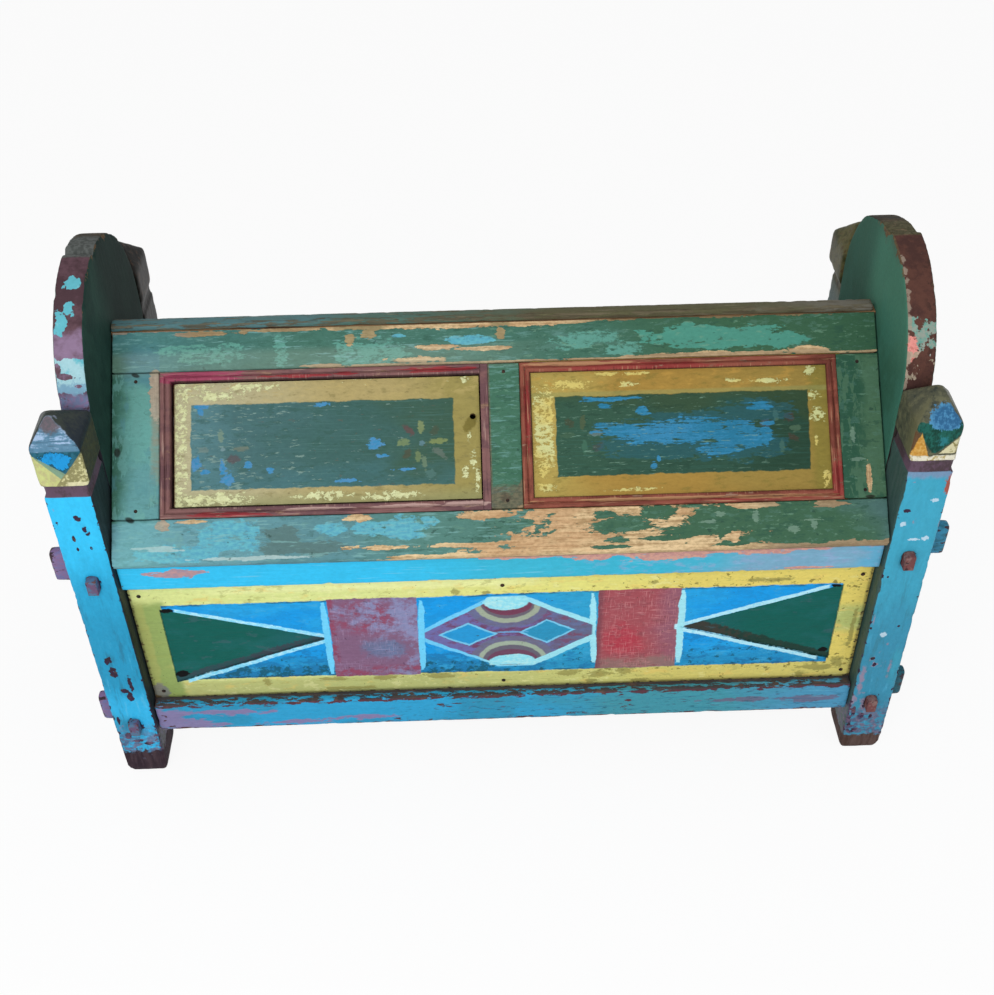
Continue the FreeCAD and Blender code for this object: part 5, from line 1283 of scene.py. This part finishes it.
def ear_paint(name, side):
    """Green faces with a maroon rim chipped to turquoise, mauve and salmon."""
    p = Paint(name, "front")
    x, y, z = p.x, p.y, p.z
    p.wood("z", 151 + side, "4A3A2C", "80694E")
    wood = p.colour
    soft = p.noise((60, 70, 110), 153 + side, 3.0)
    fine = p.noise((6, 6, 6), 154, 4.0, 0.65)
    tall = p.noise((8, 8, 60), 155, 3.0)
    mottle = p.noise((18, 18, 24), 163 + side, 5.0, 0.68)
    # Painted shade: the left face, turned from the key light, is painted much darker than the right one. Both
    # faces also darken towards the rear.
    if side < 0:
        face = p.over(
            (soft + 0.3 * mottle).blend("1F3933", "27443C", -0.4, 0.5),
            ("1A2422", 0.7 * y.ramp(-60, 40)))
    else:
        face = p.over(
            (soft + 0.3 * mottle).blend("3C6E5E", "34604F", -0.4, 0.5),
            ("487A66", 0.7 * z.moved(soft, 40).ramp(760, 860)),
            ("4A584A", 0.6 * z.moved(mottle, 14).ramp(905, 935)),
            ("2A4038", 0.5 * y.ramp(10, 80)))
    worn_face = (mottle + z.ramp(880, 936, -0.3, 0.45 if side > 0 else 0.1) + 0.7 * p.edge).ramp(0.85, 0.95)
    face = p.mix(face, fine.blend("5A4636", "66573E", -0.5, 0.5), worn_face)
    lumps = p.noise((18, 16, 18), 157 + side, 5.0, 0.62)
    inward = x * float(-side)
    if side < 0:
        rim = (soft + mottle).blend("4A363C", "5C444C", -0.5, 0.5)
        mauve = z.ramp(900, 872, -0.7, 0.3) + z.ramp(850, 835, 0.0, -0.3)
        rim = p.mix(rim, "8C7692", 0.85 * (mauve + 0.4 * lumps).ramp(-0.3, 0.4))
        islands = p.spots((-658, 826, 12, 5), (-668, 836, 5, 9), (-640, 812, 7, 3))
        turq = (p.spots((-646, 925, 13, 5), (-648, 905, 10, 9), (-661, 889, 12, 15)) * 0.7
                | z.ramp(858, 846, -0.6, 0.45) + z.ramp(812, 792, 0.0, -0.6)
                - islands.ramp(-0.3, 0.4, 0.0, 0.55))
        bright = mottle + z.ramp(880, 840, -0.9, 0.1) + inward.ramp(655, 630, -0.3, 0.4)
        tone = p.over(
            bright.blend("5FB0BE", "9CC4CC", -0.4, 0.6),
            ("6A94B0", 0.8 * (mottle + z.ramp(836, 800, -0.9, 0.6)).ramp(-0.1, 0.4)))
        rim = p.over(
            rim,
            (tone, (turq + 0.55 * lumps).ramp(0.1, 0.16)),
            (fine.blend("6A7A9C", "7E6E90", -0.4, 0.4), 0.85 * (z.ramp(806, 792) & lumps.ramp(-0.9, -0.4))))
        crown = (tall + fine).blend("5C605E", "464A48", -0.5, 0.5)
    else:
        rim = p.over(
            (soft + mottle).blend("48302C", "583A32", -0.5, 0.5),
            ("2E2220", 0.6 * (mottle.ramp(0.1, 0.5) & inward.ramp(-650, -664))))
        turq = z.ramp(880, 868, -0.7, 0.1) + z.ramp(838, 820, 0.0, -0.6)
        rim = p.mix(rim, fine.blend("64988C", "8A948A", -0.4, 0.4), (turq + 0.6 * lumps).ramp(0.0, 0.08))
        near = inward.ramp(-652, -632, -0.5, 0.3)
        salmon = z.ramp(856, 846, -0.8, 0.1) + z.ramp(822, 808, 0.0, -0.6) + near
        rim = p.mix(rim, fine.blend("DC9088", "B46A60", -0.2, 0.6), (salmon + 0.6 * lumps).ramp(0.05, 0.12))
        pale = z.ramp(836, 824, -0.7, 0.0) + z.ramp(790, 778, 0.0, -0.5) + 0.5 * near + 0.4 * tall
        rim = p.mix(rim, fine.blend("9A927C", "B4A290", -0.4, 0.5),
                    0.85 * (pale + 0.5 * lumps).ramp(0.05, 0.15))
        streaks = (inward.ramp(-640, -629, -0.6, 0.1) + z.ramp(830, 860, 0.0, 0.05)
                   + z.ramp(925, 935, 0.0, -0.5))
        rim = p.mix(rim, "97897A", 0.7 * (streaks + 0.5 * lumps).ramp(0.0, 0.1))
        crown = p.over(
            (tall + fine).blend("59553F", "45422F", -0.5, 0.5),
            ("806A56", 0.6 * lumps.ramp(0.3, 0.5)))
    rim = p.over(
        rim,
        (crown, y.moved(fine, 2).ramp(-22, -16)),
        ("C4CCC4", 0.8 * (p.noise((5, 5, 6), 161, 3.0) + z.ramp(780, 860, 0.2, -0.1)).ramp(0.95, 1.05)))
    chips = (mottle + 0.5 * fine + 0.3 * p.edge).ramp(0.9, 0.96)
    rim = p.over(
        rim,
        (p.mix(wood, "3A2A28", 0.6), chips),
        ("1F1A1C", 0.92 * z.moved(lumps, 6).ramp(776, 762)))
    on_rim = abs(p.facing[0]).ramp(0.8, 0.62)
    rear = y.moved(mottle, 12).ramp(40, 70)
    rim = p.mix(rim, mottle.blend("2C2A24", "443A2C", -0.4, 0.5), rear)
    p.colour = p.mix(face, rim, on_rim)
    p.shade(fine, 0.08)
    p.shade(mottle, 0.05)
    height = 0.35 * ~(chips & on_rim) + 0.12 * fine + 0.1 * tall + 0.12 * mottle
    return p.finish(chips.ramp(0, 1, 0.75, 0.85), height)


def cap_paint():
    """A faded blue-green to olive coat on the ridge cap."""
    p = Paint("ridge_cap_paint", "front")
    x = p.x
    p.wood("x", 171, "4A4234", "6C6450")
    wood = p.colour
    soft = p.noise((90, 30, 30), 172, 3.0)
    fine = p.noise((8, 4, 4), 173, 4.0, 0.65)
    coat = p.over(
        x.moved(soft, 90).blend("507478", "4E6A60", -450, -150),
        ("56543C", x.moved(soft, 90).ramp(-150, 120)),
        ("6E6A60", x.moved(soft, 70).ramp(420, 580)))
    gone = (p.noise((40, 5, 5), 174, 4.0, 0.66) + 0.55 * p.edge).ramp(0.42, 0.62)
    p.colour = p.mix(coat, wood, 0.85 * gone)
    p.lay("3A3428", 0.5 * p.noise((26, 6, 6), 175, 3.0).ramp(0.5, 0.8))
    p.lay("8A8268", 0.4 * p.noise((50, 3, 3), 176, 3.0).ramp(0.4, 0.8))
    p.shade(fine, 0.1)
    return p.finish(gone.ramp(0, 1, 0.5, 0.72), 0.3 * ~gone + 0.14 * fine)


def old_paint(name, seed, grain, coat_a, coat_b, start, outward, plane="front"):
    """Thin worn coats over dark wood for the sides and the back, with bare wood inside."""
    p = Paint(name, plane)
    sizes = {"x": ((40, 10, 10), (130, 6, 6)), "y": ((10, 40, 10), (6, 130, 6)),
             "z": ((10, 10, 40), (6, 6, 130))}[grain]
    lines = p.wood(grain, seed, "46342A", "8C6C50")
    wood = p.colour
    soft = p.noise(120, seed + 2, 3.0)
    fine = p.noise(6, seed + 3, 4.0, 0.65)
    rub = p.noise(sizes[1], seed + 4, 3.0)
    coat = p.mix(coat_a, coat_b, (soft + 0.4 * rub).ramp(-0.4, 0.6))
    gone = p.noise(sizes[0], seed + 5, 5.0, 0.6) + 0.4 * rub + 0.35 * soft + 0.7 * p.edge
    gone = gone.ramp(start, start + 0.08)
    under = p.mix("4A3640", wood, p.noise(30, seed + 6, 3.0).ramp(-0.2, 0.2))
    outer = outward(p)
    painted = ~gone & outer
    p.colour = p.mix(wood, p.mix(p.mix(wood, under, 0.6), coat, painted), outer)
    p.lay("2E2824", 0.5 * p.noise(34, seed + 7, 3.0).ramp(0.6, 0.9))
    p.shade(fine, 0.08)
    p.shade(lines, 0.05)
    return p.finish(painted.ramp(0, 1, 0.78, 0.5), 0.3 * painted + 0.1 * fine + 0.12 * lines)


def bare_paint(name, seed, grain, dark, light):
    """Aged bare wood with dirt, cracks and grain."""
    p = Paint(name, "front")
    lines = p.wood(grain, seed, dark, light)
    crack = {"x": (220, 2.4, 2.4), "y": (2.4, 220, 2.4), "z": (2.4, 2.4, 220)}[grain]
    soft = p.noise(150, seed + 2, 3.0)
    fine = p.noise(7, seed + 3, 4.0, 0.65)
    split = p.noise(crack, seed + 4, 2.0).ramp(0.85, 1.0)
    p.lay("3A2C22", 0.5 * soft.ramp(0.1, 0.8))
    p.lay("241A14", 0.8 * split)
    p.lay("9A8468", 0.3 * (p.edge + 0.3 * fine).ramp(0.7, 1.0))
    p.shade(fine, 0.08)
    return p.finish(lines.ramp(-1, 1, 0.65, 0.82), 0.15 * lines + 0.08 * fine - 0.4 * split)


def iron_paint():
    """Dark, slightly rusty iron."""
    p = Paint("nail_iron", "front")
    fine = p.noise(3.2, 191, 4.0, 0.65)
    soft = p.noise(40, 192, 3.0)
    p.colour = fine.blend("241E1C", "3E3630", -0.5, 0.6)
    p.lay("5A3A28", 0.6 * (soft + fine).ramp(0.2, 0.9))
    p.shader.inputs["Metallic"].default_value = 0.25
    return p.finish(fine.ramp(-1, 1, 0.5, 0.75), 0.2 * fine)


def outward_y(p):
    """The share of the rear wall's outer side and of the tenon ends."""
    return p.facing[1].ramp(0.2, 0.5) | abs(p.x).ramp(699, 701)


def outward_x(p):
    """The share of a side wall's outer side."""
    return (p.facing[0] * p.x.ramp(-1, 1, -1.0, 1.0)).ramp(-0.2, 0.3)


def dress():
    """Give every piece its surface."""
    made = {
        "front_left_post": post_paint("left_post_paint", -1, True),
        "front_right_post": post_paint("right_post_paint", 1, True),
        "rear_left_post": post_paint("rear_left_post_paint", -1, False),
        "rear_right_post": post_paint("rear_right_post_paint", 1, False),
        "front_upper_rail": rail_paint("upper_rail_paint", True),
        "front_lower_rail": rail_paint("lower_rail_paint", False),
        "tenon_pegs": peg_paint(),
        "left_ear_board": ear_paint("left_ear_paint", -1),
        "right_ear_board": ear_paint("right_ear_paint", 1),
        "front_panel": front_paint(),
        "door_panel": door_paint(),
        "fixed_panel": fixed_paint(),
        "ridge_cap": cap_paint(),
    }
    frame_along = slope_frame_paint("slope_rail_paint", "x")
    frame_up = slope_frame_paint("slope_stile_paint", "y")
    door_red = moulding_paint("door_moulding_paint", 201, "7E5A58", "66484C", "BC9E92", True)
    fixed_red = moulding_paint("fixed_moulding_paint", 211, "8A4E40", "703C32", "BC9674", False)
    side_panel = old_paint("side_panel_paint", 221, "z", "3E7F96", "4A8F9A", 0.55, outward_x)
    side_rail = old_paint("side_rail_paint", 231, "y", "3A8FB4", "4A86A4", 0.72, outward_x)
    rear_rail = old_paint("rear_rail_paint", 241, "x", "3A86A8", "4A7F96", 0.62, outward_y)
    rear_board = old_paint("rear_board_paint", 251, "x", "4C7F86", "4A7468", 0.42, outward_y)
    rear_slope = old_paint("rear_slope_paint", 261, "y", "4F8278", "4A7060", 0.40, outward_y, "rear")
    inside = bare_paint("inside_wood", 271, "x", "4C3828", "8E6E4E")
    floor_wood = bare_paint("floor_wood", 281, "y", "4A382A", "84684C")
    iron = iron_paint()
    # The first row whose start fits the node's name counts
    by_start = (
        (("slope_nails", "front_panel_nails", "rear_panel_nails"), iron),
        (("slope_left_stile", "slope_mullion", "slope_right_stile"), frame_up),
        (("slope_bottom_rail", "slope_top_rail"), frame_along),
        (("door_moulding", "door_closing_strip"), door_red),
        (("fixed_moulding",), fixed_red),
        (("rear_slope_board",), rear_slope),
        (("rear_panel",), rear_board),
        (("rear_",), rear_rail),
        (("left_side_panel", "right_side_panel"), side_panel),
        (("left_", "right_"), side_rail),
        (("floor",), floor_wood),
        (("",), inside),
    )
    for node, piece in pieces.items():
        surface = made.get(node) or next(one for starts, one in by_start if node.startswith(starts))
        if piece.data.materials:
            for slot in piece.material_slots:
                slot.material = surface
        else:
            piece.data.materials.append(surface)


dress()


# Stage, light and camera
WORLD_LEVEL = 0.58          # light from all round; the camera and reflections see plain white
# Each lamp: name, size in metres, watts and place
LAMPS = (("key", 2.0, 70, (-0.8, -2.9, 2.6)), ("fill", 2.6, 10, (2.4, -2.4, 2.2)))
LAMP_TARGET = (0, 0, 0.45)
FLOOR_REACH = 12.0
FLOOR_COLOUR = (0.86, 0.86, 0.87, 1)
FLOOR_WHITE_SHARE = 0.91    # how much of the floor the camera sees as plain white
# The camera that was fitted to the photo: angles in radians, focal length as a share of its width
CAMERA_PITCH, CAMERA_YAW, CAMERA_ROLL = 0.7204815, 0.0211186, 0.0159104
FOCAL_SHARE = 1341.3112 / 994
SENSOR_WIDTH = 36.0
CAMERA_PLACE = (-0.0402294, -1.8488763, 2.0235143)


def stage():
    """A pale floor, an even white surrounding and two soft lamps."""
    mesh = bpy.data.meshes.new("floor")
    reach = FLOOR_REACH
    corners = [(-reach, -reach, 0), (reach, -reach, 0), (reach, reach, 0), (-reach, reach, 0)]
    mesh.from_pydata(corners, [], [(0, 1, 2, 3)])
    floor = bpy.data.objects.new("floor", mesh)
    bpy.context.scene.collection.objects.link(floor)
    material = bpy.data.materials.new("pale_floor")
    material.use_nodes = True
    nodes, links = material.node_tree.nodes, material.node_tree.links
    shader = nodes["Principled BSDF"]
    shader.inputs["Base Color"].default_value = FLOOR_COLOUR
    shader.inputs["Roughness"].default_value = 0.9
    shader.inputs["Specular IOR Level"].default_value = 0.1
    white = nodes.new("ShaderNodeEmission")
    blend = nodes.new("ShaderNodeMixShader")
    share = nodes.new("ShaderNodeMath")
    share.operation = "MULTIPLY"
    share.inputs[1].default_value = FLOOR_WHITE_SHARE
    links.new(seen_directly(nodes, links), share.inputs[0])
    links.new(share.outputs[0], blend.inputs[0])
    links.new(shader.outputs[0], blend.inputs[1])
    links.new(white.outputs[0], blend.inputs[2])
    links.new(blend.outputs[0], nodes["Material Output"].inputs["Surface"])
    mesh.materials.append(material)

    world = bpy.data.worlds.new("studio")
    bpy.context.scene.world = world
    world.use_nodes = True
    nodes, links = world.node_tree.nodes, world.node_tree.links
    nodes["Background"].inputs["Color"].default_value = (1, 1, 1, 1)
    strength = nodes.new("ShaderNodeMapRange")
    strength.inputs["To Min"].default_value = WORLD_LEVEL
    strength.inputs["To Max"].default_value = 1.0
    links.new(seen_directly(nodes, links), strength.inputs["Value"])
    links.new(strength.outputs["Result"], nodes["Background"].inputs["Strength"])

    for name, size, energy, place in LAMPS:
        lamp = bpy.data.lights.new(name, "AREA")
        lamp.size = size
        lamp.energy = energy
        lit = bpy.data.objects.new(name, lamp)
        lit.location = place
        bpy.context.scene.collection.objects.link(lit)
        aim(lit, LAMP_TARGET)


def seen_directly(nodes, links):
    """1 for what the camera, a reflection or glass sees, 0 for light that falls on things."""
    path = nodes.new("ShaderNodeLightPath")
    total = path.outputs["Is Camera Ray"]
    for name in ("Is Glossy Ray", "Is Transmission Ray"):
        either = nodes.new("ShaderNodeMath")
        either.operation = "MAXIMUM"
        links.new(total, either.inputs[0])
        links.new(path.outputs[name], either.inputs[1])
        total = either.outputs[0]
    return total


def aim(thing, target):
    """Turn a lamp towards a place."""
    away = thing.location - Vector(target)
    thing.rotation_euler = away.to_track_quat("Z", "Y").to_euler()


def camera():
    """The photo's camera."""
    pitch, yaw, roll = CAMERA_PITCH, CAMERA_YAW, CAMERA_ROLL
    data = bpy.data.cameras.new("camera")
    data.sensor_fit = "HORIZONTAL"
    data.sensor_width = SENSOR_WIDTH
    data.lens = SENSOR_WIDTH * FOCAL_SHARE
    level = math.cos(pitch)
    forward = np.array([math.sin(yaw) * level, math.cos(yaw) * level, -math.sin(pitch)])
    right = np.array([math.cos(yaw), -math.sin(yaw), 0.0])
    down = np.cross(forward, right)
    across = math.cos(roll) * right + math.sin(roll) * down
    below = -math.sin(roll) * right + math.cos(roll) * down
    view = bpy.data.objects.new("camera", data)
    place = Matrix.Identity(4)
    for row in range(3):
        place[row][:] = (across[row], -below[row], -forward[row], CAMERA_PLACE[row])
    view.matrix_world = place
    bpy.context.scene.collection.objects.link(view)
    bpy.context.scene.camera = view


stage()
camera()
bpy.context.scene.view_settings.view_transform = "Standard"
